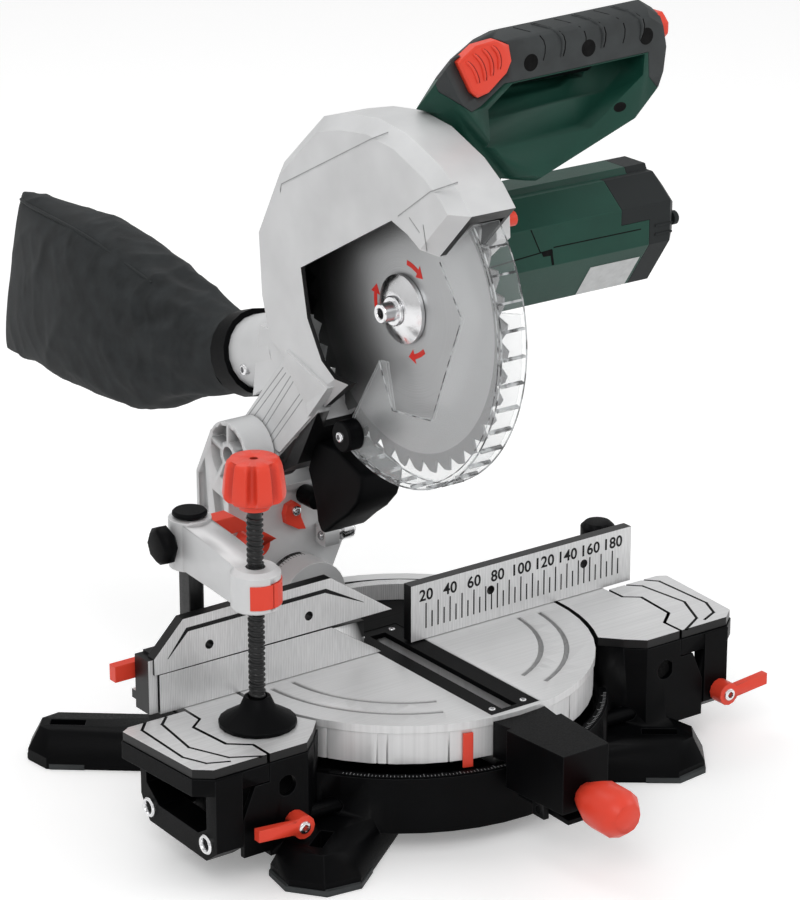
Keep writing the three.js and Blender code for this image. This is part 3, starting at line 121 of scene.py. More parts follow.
class SawSizes(bpy.types.PropertyGroup):
    """Sizes of the fitted details, in metres"""

    def size(name, default, description):
        return FloatProperty(name=name, description=description, default=default, subtype="DISTANCE",
                             unit="LENGTH", min=0.0, precision=5)

    edge_round: size("Edge round", 0.0007, "Radius that softens the edges of castings and mouldings")
    tick_pitch: size("Tick pitch", 0.005, "Distance between ticks of the fence scale")
    figure_height: size("Figure height", 0.0112, "Height of the figures on the fence scale")
    thread_pitch: size("Thread pitch", 0.0036, "Pitch of the clamp spindle's thread")
    thread_depth: size("Thread depth", 0.0015, "Depth of the clamp spindle's thread")
    crease: size("Crease", 0.0042, "Depth of the dust bag's creases")
    guard_bars: IntProperty(name="Guard bars", description="Bars along the rim of the lower guard",
                            default=17, min=1, max=60)


class SawStage(bpy.types.PropertyGroup):
    """Light and view of the scene"""

    lens: FloatProperty(name="Lens", description="Focal length of the camera", default=143.04, min=10.0,
                        subtype="DISTANCE_CAMERA", unit="CAMERA")
    key_power: FloatProperty(name="Key light", description="Power of the soft light in front, in watts",
                             default=17.0, min=0.0, subtype="POWER", unit="POWER")
    fill_power: FloatProperty(name="Fill light", default=9.0, min=0.0, subtype="POWER", unit="POWER",
                              description="Power of the soft lights on the right and above, in watts")
    sky: FloatProperty(name="Sky", description="Strength of the even light from all round", default=0.62,
                       min=0.0)


def colours():
    return bpy.context.scene.saw_colours


def sizes():
    return bpy.context.scene.saw_sizes


# Finishes.


def wire(tree, kind, inputs=None, **settings):
    """Adds a node to a tree. Each input is a value or the socket that feeds it."""
    node = tree.nodes.new(kind)
    for name, value in settings.items():
        setattr(node, name, value)
    for socket, value in (inputs or {}).items():
        if isinstance(value, bpy.types.NodeSocket):
            tree.links.new(value, node.inputs[socket])
        else:
            node.inputs[socket].default_value = value
    return node


class Finish:
    """One material, with short ways to add and wire its nodes"""

    def __init__(self, name, colour, roughness, metallic=0.0, **constants):
        self.material = bpy.data.materials.new(name)
        self.material.use_nodes = True
        self.material.diffuse_color = (*colour, 1.0)
        self.tree = self.material.node_tree
        self.shader = self.tree.nodes["Principled BSDF"]
        self.set("Base Color", (*colour, 1.0))
        self.set("Roughness", roughness)
        self.set("Metallic", metallic)
        for socket, value in constants.items():
            self.set(socket.replace("_", " "), value)

    def set(self, socket, value):
        self.shader.inputs[socket].default_value = value

    def use(self, socket, output):
        self.tree.links.new(output, self.shader.inputs[socket])

    def add(self, kind, inputs=None, **settings):
        return wire(self.tree, kind, inputs, **settings)

    def coords(self, stretch=(1, 1, 1), centre=(0, 0, 0), source="Object"):
        texture = self.add("ShaderNodeTexCoord").outputs[source]
        shift = [-c * s for c, s in zip(centre, stretch)]
        mapping = self.add("ShaderNodeMapping", {"Vector": texture, "Scale": stretch, "Location": shift})
        return mapping.outputs[0]

    def split(self, vector):
        return self.add("ShaderNodeSeparateXYZ", {0: vector}).outputs

    def position(self, centre=(0, 0, 0)):
        """The three measures of a point from a centre."""
        return self.split(self.coords(centre=centre))

    def facing(self, kind="Normal"):
        """The three parts of the way that the surface faces."""
        return self.split(self.add("ShaderNodeNewGeometry").outputs[kind])

    def noise(self, scale, detail=2.0, stretch=(1, 1, 1)):
        inputs = {"Vector": self.coords(stretch), "Scale": scale, "Detail": detail}
        return self.add("ShaderNodeTexNoise", inputs).outputs[0]

    def streaks(self, measure, scale, detail):
        """Noise along one measure, such as a radius or an angle."""
        inputs = {"W": self.times(measure, scale), "Scale": 1.0, "Detail": detail}
        return self.add("ShaderNodeTexNoise", inputs, noise_dimensions="1D").outputs[0]

    def span(self, value, low, high, to_low=0.0, to_high=1.0, kind="LINEAR"):
        inputs = {"Value": value, "From Min": low, "From Max": high, "To Min": to_low, "To Max": to_high}
        return self.add("ShaderNodeMapRange", inputs, interpolation_type=kind).outputs[0]

    def sum(self, operation, a, b=0.0, c=0.0):
        return self.add("ShaderNodeMath", {0: a, 1: b, 2: c}, operation=operation).outputs[0]

    def times(self, a, b):
        return self.sum("MULTIPLY", a, b)

    def larger(self, a, b):
        return self.sum("MAXIMUM", a, b)

    def wave(self, measure, pitch):
        """A sine that swings once for each pitch."""
        return self.sum("SINE", self.times(measure, 2 * math.pi / pitch))

    def lean(self, vector, y, z):
        """How far a vector reaches along a direction across x."""
        return self.sum("ADD", self.times(vector[1], y), self.times(vector[2], z))

    def radius(self, a, b):
        """Distance from an axis, of the two measures across it."""
        flat = self.add("ShaderNodeCombineXYZ", {0: a, 1: b}).outputs[0]
        return self.add("ShaderNodeVectorMath", {0: flat}, operation="LENGTH").outputs["Value"]

    def blend(self, factor, a, b):
        """The first colour where the factor is nought and the second where it is one."""
        a, b = [c if isinstance(c, bpy.types.NodeSocket) else (*c, 1.0) for c in (a, b)]
        return self.add("ShaderNodeMix", {0: factor, 6: a, 7: b}, data_type="RGBA").outputs[2]

    def mottle(self, pattern, tone, dark, pale, low=0.3, high=0.7):
        """A tone that wanders between a darker and a paler shade of itself."""
        return self.blend(self.span(pattern, low, high), shade(tone, dark), shade(tone, pale))

    def rounded(self, radius):
        return self.add("ShaderNodeBevel", {"Radius": radius}, samples=4).outputs[0]

    # Callers pale the edges with this mask, partly as wear and partly as a painted highlight.
    def edge_wear(self, radius, strength=0.5):
        """Nought on flat faces, rising where two faces meet."""
        hard = self.add("ShaderNodeNewGeometry").outputs["Normal"]
        inputs = {0: self.rounded(radius), 1: hard}
        alike = self.add("ShaderNodeVectorMath", inputs, operation="DOT_PRODUCT").outputs["Value"]
        return self.span(alike, 0.985, 0.80, 0.0, strength)

    # Its callers use it to paint shade into corners and hollows.
    def openness(self, reach, own=True):
        """One on open faces, falling to nought deep in a corner."""
        node = self.add("ShaderNodeAmbientOcclusion", {"Distance": reach}, samples=6, only_local=own)
        return node.outputs["AO"]

    def bump(self, height, strength, distance, normal=None):
        inputs = {"Height": height, "Strength": strength, "Distance": distance}
        if normal is not None:
            inputs["Normal"] = normal
        return self.add("ShaderNodeBump", inputs).outputs[0]

    def grain(self, scale, detail, gloss, strength, depth, edge):
        """Fine relief over softened edges, whose roughness runs between the two of gloss."""
        fine = self.noise(scale, detail)
        self.use("Roughness", self.span(fine, 0.3, 0.7, *gloss))
        self.use("Normal", self.bump(fine, strength, depth, self.rounded(edge)))

    def blacken(self, where):
        """Lays black over the colour wired so far."""
        colour_now = self.shader.inputs["Base Color"].links[0].from_socket
        self.use("Base Color", self.blend(where, colour_now, colours().black))


def shade(colour, factor):
    return tuple(min(1.0, c * factor) for c in colour)


def silver_paint(name):
    """Silver paint over a die casting: slight mottling, painted shade darkening its corners, orange peel, and
    edges paler from wear and painted highlight
    """
    tone = colours().casting
    finish = Finish(name, tone, 0.42, 0.16)
    fresh = finish.mottle(finish.noise(26.0, 3.0), tone, 0.93, 1.06)
    # Painted shade: the paint darkens where ambient occlusion finds a corner or hollow.
    painted = finish.blend(finish.span(finish.openness(0.016), 0.25, 0.88), shade(tone, 0.34), fresh)
    # Edges go paler, partly from wear and partly as a painted highlight.
    wear_and_highlight = finish.edge_wear(0.0009, 0.75)
    finish.use("Base Color", finish.blend(wear_and_highlight, painted, (0.90, 0.90, 0.90)))
    finish.grain(1500.0, 3.0, (0.36, 0.50), 0.22, 0.00012, sizes().edge_round)
    return finish


def silver_casting():
    """The plain silver paint of the castings"""
    return silver_paint("Silver casting")


def lined_casting():
    """The silver paint, with black on the faces that look into the guard and on the mouth's forward and
    downward face: partly black paint, partly painted shade
    """
    finish = silver_paint("Lined casting")
    position = finish.position(put(0, *ARBOR))
    facing = finish.facing("True Normal")
    on_left = finish.sum("LESS_THAN", position[0], 0.0)
    on_right = finish.sum("GREATER_THAN", position[0], 0.0)
    left = finish.times(finish.span(facing[0], 0.6, 0.65), on_left)
    right = finish.times(finish.span(facing[0], -0.6, -0.65), on_right)
    inward = finish.span(finish.lean(facing, position[1], position[2]), -0.030, -0.034)
    mouth = finish.span(finish.lean(facing, -0.715, -0.70), 0.90, 0.93)
    # The black here is partly paint and partly painted shade inside the guard and on its mouth.
    finish.blacken(finish.larger(finish.larger(left, right), finish.larger(inward, mouth)))
    return finish


def arm_casting():
    """The silver paint, black below the edge of the arm's grooved plate"""
    finish = silver_paint("Arm casting")
    below = finish.lean(finish.position(put(0, 62.0, 150.6)), -0.69, -0.72)
    finish.blacken(finish.span(below, 0.0002, 0.0006))
    return finish


def milled_plate():
    """Brushed top face inside a black painted rim and sides"""
    tone = colours().machined
    finish = Finish("Milled plate", tone, 0.34, 0.4, Specular_IOR_Level=0.3)
    level = finish.span(finish.position()[2], put(0, 0, -0.45).z, put(0, 0, -0.35).z)
    top = finish.times(level, finish.span(finish.facing()[2], 0.6, 0.7))
    strokes = finish.noise(240.0, 4.0, (0.05, 6.0, 1.0))
    fine = finish.noise(900.0, 2.0, (0.04, 5.0, 1.0))
    brushed = finish.mottle(strokes, tone, 0.90, 1.08)
    finish.use("Base Color", finish.blend(top, colours().black, brushed))
    finish.use("Metallic", finish.times(top, 0.4))
    finish.use("Roughness", finish.sum("MULTIPLY_ADD", strokes, 0.16, 0.28))
    finish.use("Normal", finish.bump(fine, 0.2, 0.00008, finish.rounded(0.0004)))
    return finish


def turned_table():
    """Milled top with fine strokes, black behind the fence, and a skirt turned in steps"""
    tone = colours().machined
    finish = Finish("Turned table", tone, 0.34, 0.4, Specular_IOR_Level=0.25)
    x, y, z = finish.position(put(0, 0, 0))
    top = finish.span(finish.facing()[2], 0.5, 0.7)
    skirt = finish.sum("SUBTRACT", 1.0, top)
    strokes = finish.noise(240.0, 4.0, (0.05, 6.0, 1.0))
    round_strokes = finish.streaks(finish.sum("ARCTAN2", y, x), 34.0, 4.0)
    grain = finish.sum("ADD", finish.times(top, strokes), finish.times(skirt, round_strokes))
    metal = finish.mottle(grain, tone, 0.92, 1.06, 0.25, 0.75)
    sunk = finish.times(finish.span(z, -0.0004, -0.0012), top)
    cut = finish.blend(sunk, metal, shade(tone, 0.42))
    inside = finish.span(finish.radius(x, y), 0.1190, 0.1185)
    behind = finish.times(finish.span(y, 0.0175, 0.0180), inside)
    finish.use("Base Color", finish.blend(finish.times(behind, top), cut, colours().black))
    finish.use("Metallic", finish.sum("MULTIPLY_ADD", behind, -0.4, 0.4))
    rough = finish.sum("MULTIPLY_ADD", grain, 0.18, 0.30)
    finish.use("Roughness", finish.sum("MULTIPLY_ADD", behind, 0.5, rough))
    finish.use("Normal", finish.bump(grain, 0.07, 0.00012, finish.rounded(0.0004)))
    return finish


def fence_face():
    """Milled front face with a fine upright hatch, black paint everywhere else"""
    tone = colours().machined
    finish = Finish("Fence face", tone, 0.36, 0.4, Specular_IOR_Level=0.3)
    position = finish.position(put(0, 0, 0))
    facing = finish.facing()
    low_top = finish.times(finish.span(facing[2], 0.6, 0.7), finish.span(position[2], 0.0125, 0.0121))
    bare = finish.larger(finish.span(facing[1], -0.6, -0.7), low_top)
    strokes = finish.noise(300.0, 3.0, (6.0, 1.0, 0.25))
    grain = finish.sum("MULTIPLY_ADD", finish.wave(position[0], 0.0013), 0.16, strokes)
    metal = finish.mottle(grain, tone, 0.84, 1.10, 0.3, 0.75)
    finish.use("Base Color", finish.blend(bare, colours().black, metal))
    finish.use("Metallic", finish.times(bare, 0.4))
    finish.use("Roughness", finish.sum("MULTIPLY_ADD", strokes, 0.16, 0.30))
    finish.use("Normal", finish.bump(finish.times(grain, bare), 0.25, 0.00012, finish.rounded(0.0004)))
    return finish


def blade_steel():
    """Ground steel: rings round the arbor, a darker toothed rim and shade close to the guard"""
    tone = colours().steel
    finish = Finish("Blade steel", tone, 0.34, 0.95)
    position = finish.position(put(0, *ARBOR))
    radius = finish.radius(position[1], position[2])
    rings = finish.streaks(radius, 2600.0, 3.0)
    metal = finish.mottle(rings, tone, 0.85, 1.12)
    rim = finish.span(radius, 0.0952, 0.0956)
    toothed = finish.blend(finish.times(rim, 0.8), metal, shade(tone, 0.5))
    # Painted shade: the steel darkens where ambient occlusion finds the guard's walls close by.
    open_face = finish.span(finish.openness(0.045, own=False), 0.18, 0.72)
    finish.use("Base Color", finish.blend(open_face, shade(tone, 0.10), toothed))
    finish.use("Roughness", finish.sum("MULTIPLY_ADD", finish.noise(30.0, 4.0), 0.16, 0.36))
    finish.use("Normal", finish.bump(rings, 0.10, 0.00008))
    return finish


def bright_steel():
    """Plated or turned steel, faintly smeared"""
    finish = Finish("Bright steel", colours().bright, 0.2, 1.0)
    finish.grain(220.0, 3.0, (0.14, 0.28), 0.04, 0.0001, 0.0004)
    return finish


def dark_steel():
    """Blackened steel of the spindle, post and spring"""
    finish = Finish("Blackened steel", (0.012, 0.0125, 0.0135), 0.34, 0.3)
    # Edges go paler, partly from wear and partly as a painted highlight.
    wear_and_highlight = finish.edge_wear(0.0004, 0.55)
    finish.use("Base Color", finish.blend(wear_and_highlight, (0.005, 0.0053, 0.0056), (0.09, 0.09, 0.095)))
    finish.use("Roughness", finish.span(finish.noise(500.0), 0.3, 0.7, 0.28, 0.46))
    finish.use("Normal", finish.bump(finish.noise(800.0), 0.12, 0.0001))
    return finish


def black_casting():
    """Black paint over a die casting, paler at its edges from wear and painted highlight"""
    tone = colours().black
    finish = Finish("Black casting", tone, 0.42, 0.0, Specular_IOR_Level=0.06)
    # Edges go paler, partly from wear and partly as a painted highlight.
    wear_and_highlight = finish.edge_wear(0.0011, 0.55)
    paint_coat = finish.mottle(finish.noise(40.0, 3.0), tone, 0.8, 1.5)
    finish.use("Base Color", finish.blend(wear_and_highlight, paint_coat, (0.030, 0.031, 0.033)))
    finish.grain(900.0, 3.0, (0.32, 0.50), 0.28, 0.00016, sizes().edge_round)
    return finish


def dark_plastic(name, tone):
    """Dark plastic with spark-eroded grain"""
    finish = Finish(name, tone, 0.5, 0.0, Specular_IOR_Level=0.06)
    # Edges go paler, partly from wear and partly as a painted highlight.
    wear_and_highlight = finish.edge_wear(0.0009, 0.4)
    finish.use("Base Color", finish.blend(wear_and_highlight, tone, (0.022, 0.0225, 0.024)))
    finish.grain(2200.0, 2.0, (0.40, 0.58), 0.25, 0.0001, sizes().edge_round)
    return finish


def black_moulding():
    """The black plastic of levers, covers and knobs"""
    return dark_plastic("Black moulding", shade(colours().black, 1.25))


def cap_moulding():
    """The motor cap's plastic, a little paler than the rest"""
    return dark_plastic("Cap moulding", shade(colours().grip, 0.75))


def grip_rubber():
    """Soft overmould with a fine crossed grain"""
    tone = colours().grip
    finish = Finish("Grip rubber", tone, 0.62, 0.0, Specular_IOR_Level=0.3)
    x, _, z = finish.position()
    weave = finish.larger(*(finish.wave(finish.sum(way, x, z), 0.0011) for way in ("ADD", "SUBTRACT")))
    dust = finish.noise(60.0, 4.0)
    finish.use("Base Color", finish.mottle(dust, tone, 0.85, 1.35, 0.35))
    finish.use("Roughness", finish.span(dust, 0.3, 0.7, 0.62, 0.80))
    finish.use("Normal", finish.bump(weave, 0.25, 0.00012, finish.rounded(0.0012)))
    return finish


def green_moulding():
    """Dark green plastic with spark-eroded grain"""
    tone = colours().green
    finish = Finish("Green moulding", tone, 0.46, 0.0, Specular_IOR_Level=0.22)
    # Edges go paler, partly from wear and partly as a painted highlight.
    wear_and_highlight = finish.edge_wear(0.0010, 0.5)
    plain = finish.mottle(finish.noise(34.0, 3.0), tone, 0.9, 1.1)
    finish.use("Base Color", finish.blend(wear_and_highlight, plain, shade(tone, 2.2)))
    finish.grain(2000.0, 2.0, (0.40, 0.54), 0.3, 0.0001, 0.0010)
    return finish


def red_moulding():
    """Bright red plastic, paler at its edges from wear and painted highlight, with painted shade in its
    hollows
    """
    tone = colours().red
    finish = Finish("Red moulding", tone, 0.4, 0.0, Specular_IOR_Level=0.35)
    # Edges go paler, partly from wear and partly as a painted highlight.
    wear_and_highlight = finish.edge_wear(0.0009, 0.4)
    # Painted shade: darker where ambient occlusion finds a hollow.
    open_face = finish.span(finish.openness(0.007), 0.35, 0.85)
    plain = finish.blend(open_face, shade(tone, 0.35), tone)
    finish.use("Base Color", finish.blend(wear_and_highlight, plain, (0.90, 0.16, 0.10)))
    finish.grain(1300.0, 2.0, (0.32, 0.46), 0.14, 0.0001, 0.0008)
    return finish


def clear_guard():
    """Clear polycarbonate: next to nothing face on, brighter at its edges and where it turns away"""
    finish = Finish("Clear guard", (0.86, 0.89, 0.90), 0.06, 0.0, IOR=1.45, Specular_IOR_Level=0.5)
    scuffs = finish.noise(160.0, 5.0, (1.0, 1.0, 0.25))
    edge = finish.edge_wear(0.0009, 1.0)
    rim = finish.add("ShaderNodeLayerWeight", {"Blend": 0.22}).outputs["Facing"]
    cover = finish.sum("MULTIPLY_ADD", rim, 0.34, finish.sum("MULTIPLY_ADD", edge, 0.45, 0.045))
    finish.use("Alpha", finish.sum("MINIMUM", cover, 0.8))
    finish.use("Roughness", finish.span(scuffs, 0.35, 0.75, 0.03, 0.14))
    finish.use("Normal", finish.bump(scuffs, 0.03, 0.0001))
    finish.material.surface_render_method = "BLENDED"
    return finish


def clear_edge():
    """Cut edge of the clear guard, which catches the light in streaks"""
    finish = Finish("Clear guard edge", (0.16, 0.17, 0.18), 0.08, 0.0, Alpha=0.75, Specular_IOR_Level=0.8)
    lit = finish.span(finish.noise(120.0, 2.0), 0.40, 0.60, kind="SMOOTHSTEP")
    finish.use("Base Color", finish.blend(lit, (0.015, 0.016, 0.018), (0.62, 0.64, 0.65)))
    finish.material.surface_render_method = "BLENDED"
    return finish


def bag_cloth():
    """Black woven polyester: plain weave on the bag's own UV map"""
    tone = colours().cloth
    finish = Finish("Bag cloth", tone, 0.88, 0.0, Specular_IOR_Level=0.2, Sheen_Weight=0.05,
                    Sheen_Roughness=0.45)
    across, down, _ = finish.split(finish.coords(source="UV"))
    weave = finish.times(finish.wave(across, 0.0012), finish.wave(down, 0.0012))
    fluff = finish.noise(70.0, 5.0)
    finish.use("Base Color", finish.mottle(fluff, tone, 0.75, 1.7))
    finish.use("Roughness", finish.span(fluff, 0.3, 0.7, 0.80, 0.95))
    finish.use("Normal", finish.bump(finish.sum("MULTIPLY_ADD", fluff, 0.8, weave), 0.35, 0.00015))
    return finish


def copper_winding():
    """Enamelled wire, laid round the motor's axis"""
    finish = Finish("Copper winding", (0.42, 0.16, 0.07), 0.3, 0.8)
    turns = finish.wave(finish.position()[0], 0.0012)
    finish.use("Roughness", finish.span(turns, -1.0, 1.0, 0.25, 0.45))
    finish.use("Normal", finish.bump(turns, 0.5, 0.0003))
    return finish


def flat_print(name, colour, roughness):
    """Ink, a bare plate, and small marks of painted shade and highlight, as a flat colour a little uneven"""
    finish = Finish(name, colour, roughness, 0.0, Specular_IOR_Level=0.2)
    patches = finish.noise(180.0, 3.0)
    finish.use("Base Color", finish.mottle(patches, colour, 0.9, 1.08))
    finish.use("Roughness", finish.span(patches, 0.3, 0.7, roughness * 0.9, roughness * 1.1))
    return finish


MAKERS = {maker.__name__: maker for maker in (
    silver_casting, lined_casting, arm_casting, milled_plate, turned_table, fence_face, blade_steel,
    bright_steel, dark_steel, black_casting, black_moulding, cap_moulding, grip_rubber, green_moulding,
    red_moulding, clear_guard, clear_edge, bag_cloth, copper_winding)}
# Flat colours for small marks. Besides print and a bare plate, they paint shade and light: the deep shadow,
# the red on the dark sides of the slide's ribs, and the black and grey in a socket, grooves and slots are
# painted shade, and the pale plate also gives a painted highlight.
PRINTS = {
    "ink": ("Scale ink", (0.006, 0.006, 0.0065), 0.45),
    "void": ("Deep shadow", (0.0007, 0.0007, 0.0008), 0.9),
    "deep_red": ("Deep red", (0.30, 0.016, 0.010), 0.5),
    "red_print": ("Red print", (0.72, 0.030, 0.020), 0.4),
    "pale_plate": ("Pale plate", (0.60, 0.61, 0.61), 0.35),
    "grey_print": ("Grey print", (0.34, 0.345, 0.35), 0.5),
}


@cache
def finish_named(name):
    """The material of that name, made when it is first asked for."""
    finish = flat_print(*PRINTS[name]) if name in PRINTS else MAKERS[name]()
    return finish.material


# Pieces in mesh code.


def drawn(name, shape):
    """Turns a bmesh into a mesh and frees it."""
    mesh = bpy.data.meshes.new(name)
    shape.to_mesh(mesh)
    shape.free()
    return mesh


def plain_mesh(holder):
    """The mesh that an object shows once its modifiers have run."""
    graph = bpy.context.evaluated_depsgraph_get()
    return bpy.data.meshes.new_from_object(holder.evaluated_get(graph), depsgraph=graph)


def finished(name, mesh, finish, body, sharp=32.0):
    """An object at the origin with smooth sides and crisp edges, riding on a body."""
    piece = bpy.data.objects.new(name, mesh)
    bpy.context.scene.collection.objects.link(piece)
    mesh.materials.clear()
    mesh.materials.append(finish_named(finish))
    mesh.shade_smooth()
    mesh.set_sharp_from_angle(angle=math.radians(sharp))
    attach(piece, body)
    return piece


def from_bmesh(name, shape, finish, body, sharp=32.0, round_off=0.0):
    """Turns a shape drawn in the saw's millimetres into a finished piece."""
    bmesh.ops.remove_doubles(shape, verts=shape.verts, dist=0.002)
    bmesh.ops.recalc_face_normals(shape, faces=shape.faces)
    if round_off:
        least = math.radians(25)
        edges = [e for e in shape.edges if len(e.link_faces) == 2 and e.calc_face_angle(0.0) > least]
        bmesh.ops.bevel(shape, geom=edges, offset=round_off, segments=4, profile=0.5, affect="EDGES",
                        clamp_overlap=True)
    for vertex in shape.verts:
        vertex.co = put(*vertex.co)
    return finished(name, drawn(name, shape), finish, body, sharp)


def skirt_faces(shape, one, two):
    """Faces between two rings of as many points."""
    for k in range(len(one)):
        j = (k + 1) % len(one)
        shape.faces.new((one[k], one[j], two[j], two[k]))


def loft(shape, rings):
    """Adds a closed form over rings of as many points, with a flat face on each end."""
    for one, two in zip(rings, rings[1:]):
        skirt_faces(shape, one, two)
    shape.faces.new(rings[0][::-1])
    shape.faces.new(rings[-1])


def extrude(shape, axis, outline, low, high):
    """Adds a closed prism over an outline across an axis."""
    loft(shape, [[shape.verts.new(along(axis, u, v, w)) for u, v in outline] for w in (low, high)])


def block(shape, x, y, z):
    extrude(shape, "z", [(x[0], y[0]), (x[1], y[0]), (x[1], y[1]), (x[0], y[1])], z[0], z[1])


def turn(shape, axis, centre, profile, sides=48):
    """Adds a body of revolution over (radius, position) points; a nought radius closes it."""
    rings = []
    for radius, at in profile:
        if radius < 1e-6:
            rings.append([shape.verts.new(along(axis, *centre, at))])
        else:
            spots = [polar(radius, 360 * k / sides, centre) for k in range(sides)]
            rings.append([shape.verts.new(along(axis, *spot, at)) for spot in spots])
    for one, two in zip(rings, rings[1:]):
        for k in range(sides):
            j = k + 1
            corners = (one[k % len(one)], one[j % len(one)], two[j % len(two)], two[k % len(two)])
            corners = list(dict.fromkeys(corners))
            if len(corners) > 2:
                shape.faces.new(corners)


def tube_along(shape, points, radius, sides=12):
    """Adds a closed round tube along a path of points; a list gives a radius for each."""
    path = [Vector(p) for p in points]
    across = Vector((0.3, 0.5, 0.8))
    rings = []
    for i, at in enumerate(path):
        forward = (path[min(i + 1, len(path) - 1)] - path[max(i - 1, 0)]).normalized()
        across = (across - forward * across.dot(forward)).normalized()
        up = forward.cross(across)
        size = radius[i] if isinstance(radius, (list, tuple)) else radius
        spots = [across * u + up * v for u, v in (polar(1.0, 360 * k / sides) for k in range(sides))]
        rings.append([shape.verts.new(at + size * spot) for spot in spots])
    loft(shape, rings)


def strip(points, widths):
    """Outline of a band along a bent line, mitred at its corners."""
    if not isinstance(widths, (list, tuple)):
        widths = [widths] * len(points)
    left, right = [], []
    for i, at in enumerate(points):
        here = Vector(at)
        before = (here - Vector(points[i - 1])).normalized() if i else None
        after = (Vector(points[i + 1]) - here).normalized() if i + 1 < len(points) else None
        before, after = before or after, after or before
        middle = (before + after).normalized()
        side = Vector((-middle.y, middle.x)) * (widths[i] / 2 / max(0.4, middle.dot(after)))
        left.append(tuple(here + side))
        right.append(tuple(here - side))
    return left + right[::-1]


def dress(node, finish, sharp=32.0):
    """A copy of a CAD node with its points merged and its rounds shaded smooth, in its place."""
    shape = bmesh.new()
    shape.from_mesh(NODES[node].data)
    bmesh.ops.remove_doubles(shape, verts=shape.verts, dist=2e-6)
    bmesh.ops.dissolve_limit(shape, angle_limit=math.radians(0.4), verts=shape.verts, edges=shape.edges,
                             delimit={"NORMAL"})
    bmesh.ops.triangulate(shape, faces=[f for f in shape.faces if len(f.verts) > 4])
    name = node + "_dressed"
    piece = finished(name, drawn(name, shape), finish, BODY_OF[node], sharp)
    weights = piece.modifiers.new("Even shading", "WEIGHTED_NORMAL")
    weights.keep_sharp = True
    weights.weight = 80
    mesh = plain_mesh(piece)
    piece.modifiers.clear()
    piece.data = mesh
    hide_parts(node)
    return piece


def paint(node, finish):
    """Gives a CAD node its finish and leaves its mesh as it is."""
    slots = NODES[node].material_slots
    if not slots:
        raise RuntimeError(f"{node} has no material slot")
    for each in slots:
        each.link = "OBJECT"
        each.material = finish_named(finish)


@cache
def skin(node):
    """The node's surface, to cast rays on."""
    mesh = NODES[node].data
    return BVHTree.FromPolygons([v.co for v in mesh.vertices], [f.vertices for f in mesh.polygons])


def landed(node, point, direction, lift=0.0):
    """Where a ray from a point meets a node, in the saw's millimetres, and the normal there."""
    spot, normal, _, _ = skin(node).ray_cast(put(*point), Vector(direction))
    if spot is None:
        spot, normal, _, _ = skin(node).find_nearest(put(*point))
    return (spot + normal * lift / 1000) * 1000 - Vector(ORIGIN), normal


def disc_on(shape, node, point, direction, radius, squash=1.0, sides=28):
    """Adds a thin disc that lies on a node's face: painted shade where a shallow dark hole is seen."""
    middle, normal = landed(node, point, direction)
    across = Vector((1.0, 0.0, 0.0))
    across = (across - normal * across.dot(normal)).normalized()
    up = normal.cross(across)
    spots = [across * u + up * v * squash for u, v in arc(radius, 0, 360 - 360 / sides, sides - 1)]
    loft(shape, [[shape.verts.new(middle + normal * lift + spot) for spot in spots]
                 for lift in (-0.3, 0.12)])


# Repeats made by geometry nodes.


def new_tree(name, inputs):
    """A geometry node tree with named inputs; returns the tree, its input node and its output node."""
    tree = bpy.data.node_groups.new(name, "GeometryNodeTree")
    tree.interface.new_socket("Geometry", in_out="INPUT", socket_type="NodeSocketGeometry")
    for label, kind in {**inputs, "Material": "NodeSocketMaterial"}.items():
        tree.interface.new_socket(label, in_out="INPUT", socket_type=kind)
    tree.interface.new_socket("Geometry", in_out="OUTPUT", socket_type="NodeSocketGeometry")
    return tree, tree.nodes.new("NodeGroupInput"), tree.nodes.new("NodeGroupOutput")


def attribute(tree, name, kind="FLOAT_VECTOR"):
    node = wire(tree, "GeometryNodeInputNamedAttribute", {"Name": name}, data_type=kind)
    return node.outputs[0]


def place_copies(tree, given, out, inputs):
    """Puts copies on the given points, makes them real and gives them the given material."""
    spots = wire(tree, "GeometryNodeMeshToPoints", {"Mesh": given.outputs[0]})
    copies = wire(tree, "GeometryNodeInstanceOnPoints", {"Points": spots.outputs[0], **inputs})
    real = wire(tree, "GeometryNodeRealizeInstances", {0: copies.outputs[0]})
    coat = {0: real.outputs[0], "Material": given.outputs["Material"]}
    tree.links.new(wire(tree, "GeometryNodeSetMaterial", coat).outputs[0], out.inputs[0])


def grown(name, points, tree, values, finish, body, sharp=32.0):
    """Runs a tree on a mesh of points and keeps the result as a finished plain mesh."""
    seed = bpy.data.meshes.new(name)
    seed.from_pydata([p["at"] for p in points], [], [])
    for label in [key for key in points[0] if key != "at"]:
        vector = isinstance(points[0][label], Vector)
        layer = seed.attributes.new(label, "FLOAT_VECTOR" if vector else "FLOAT", "POINT")
        numbers = [c for p in points for c in p[label]] if vector else [p[label] for p in points]
        layer.data.foreach_set("vector" if vector else "value", numbers)
    holder = bpy.data.objects.new(name, seed)
    bpy.context.scene.collection.objects.link(holder)
    modifier = holder.modifiers.new("Repeat", "NODES")
    modifier.node_group = tree
    sockets = {item.name: item.identifier for item in tree.interface.items_tree if item.in_out == "INPUT"}
    for label, value in {**values, "Material": finish_named(finish)}.items():
        modifier[sockets[label]] = value
    mesh = plain_mesh(holder)
    bpy.data.objects.remove(holder)
    if not mesh.polygons:
        raise RuntimeError(f"{name} came out empty")
    return finished(name, mesh, finish, body, sharp)


@cache
def bar_tree():
    """Bars at points, each as wide, thick and tall as its size says, and turned as its turn says."""
    tree, given, out = new_tree("Ticks", {})
    bar = wire(tree, "GeometryNodeMeshCube", {"Size": (1.0, 1.0, 1.0)})
    place_copies(tree, given, out, {"Instance": bar.outputs[0], "Rotation": attribute(tree, "turn"),
                                    "Scale": attribute(tree, "size")})
    return tree


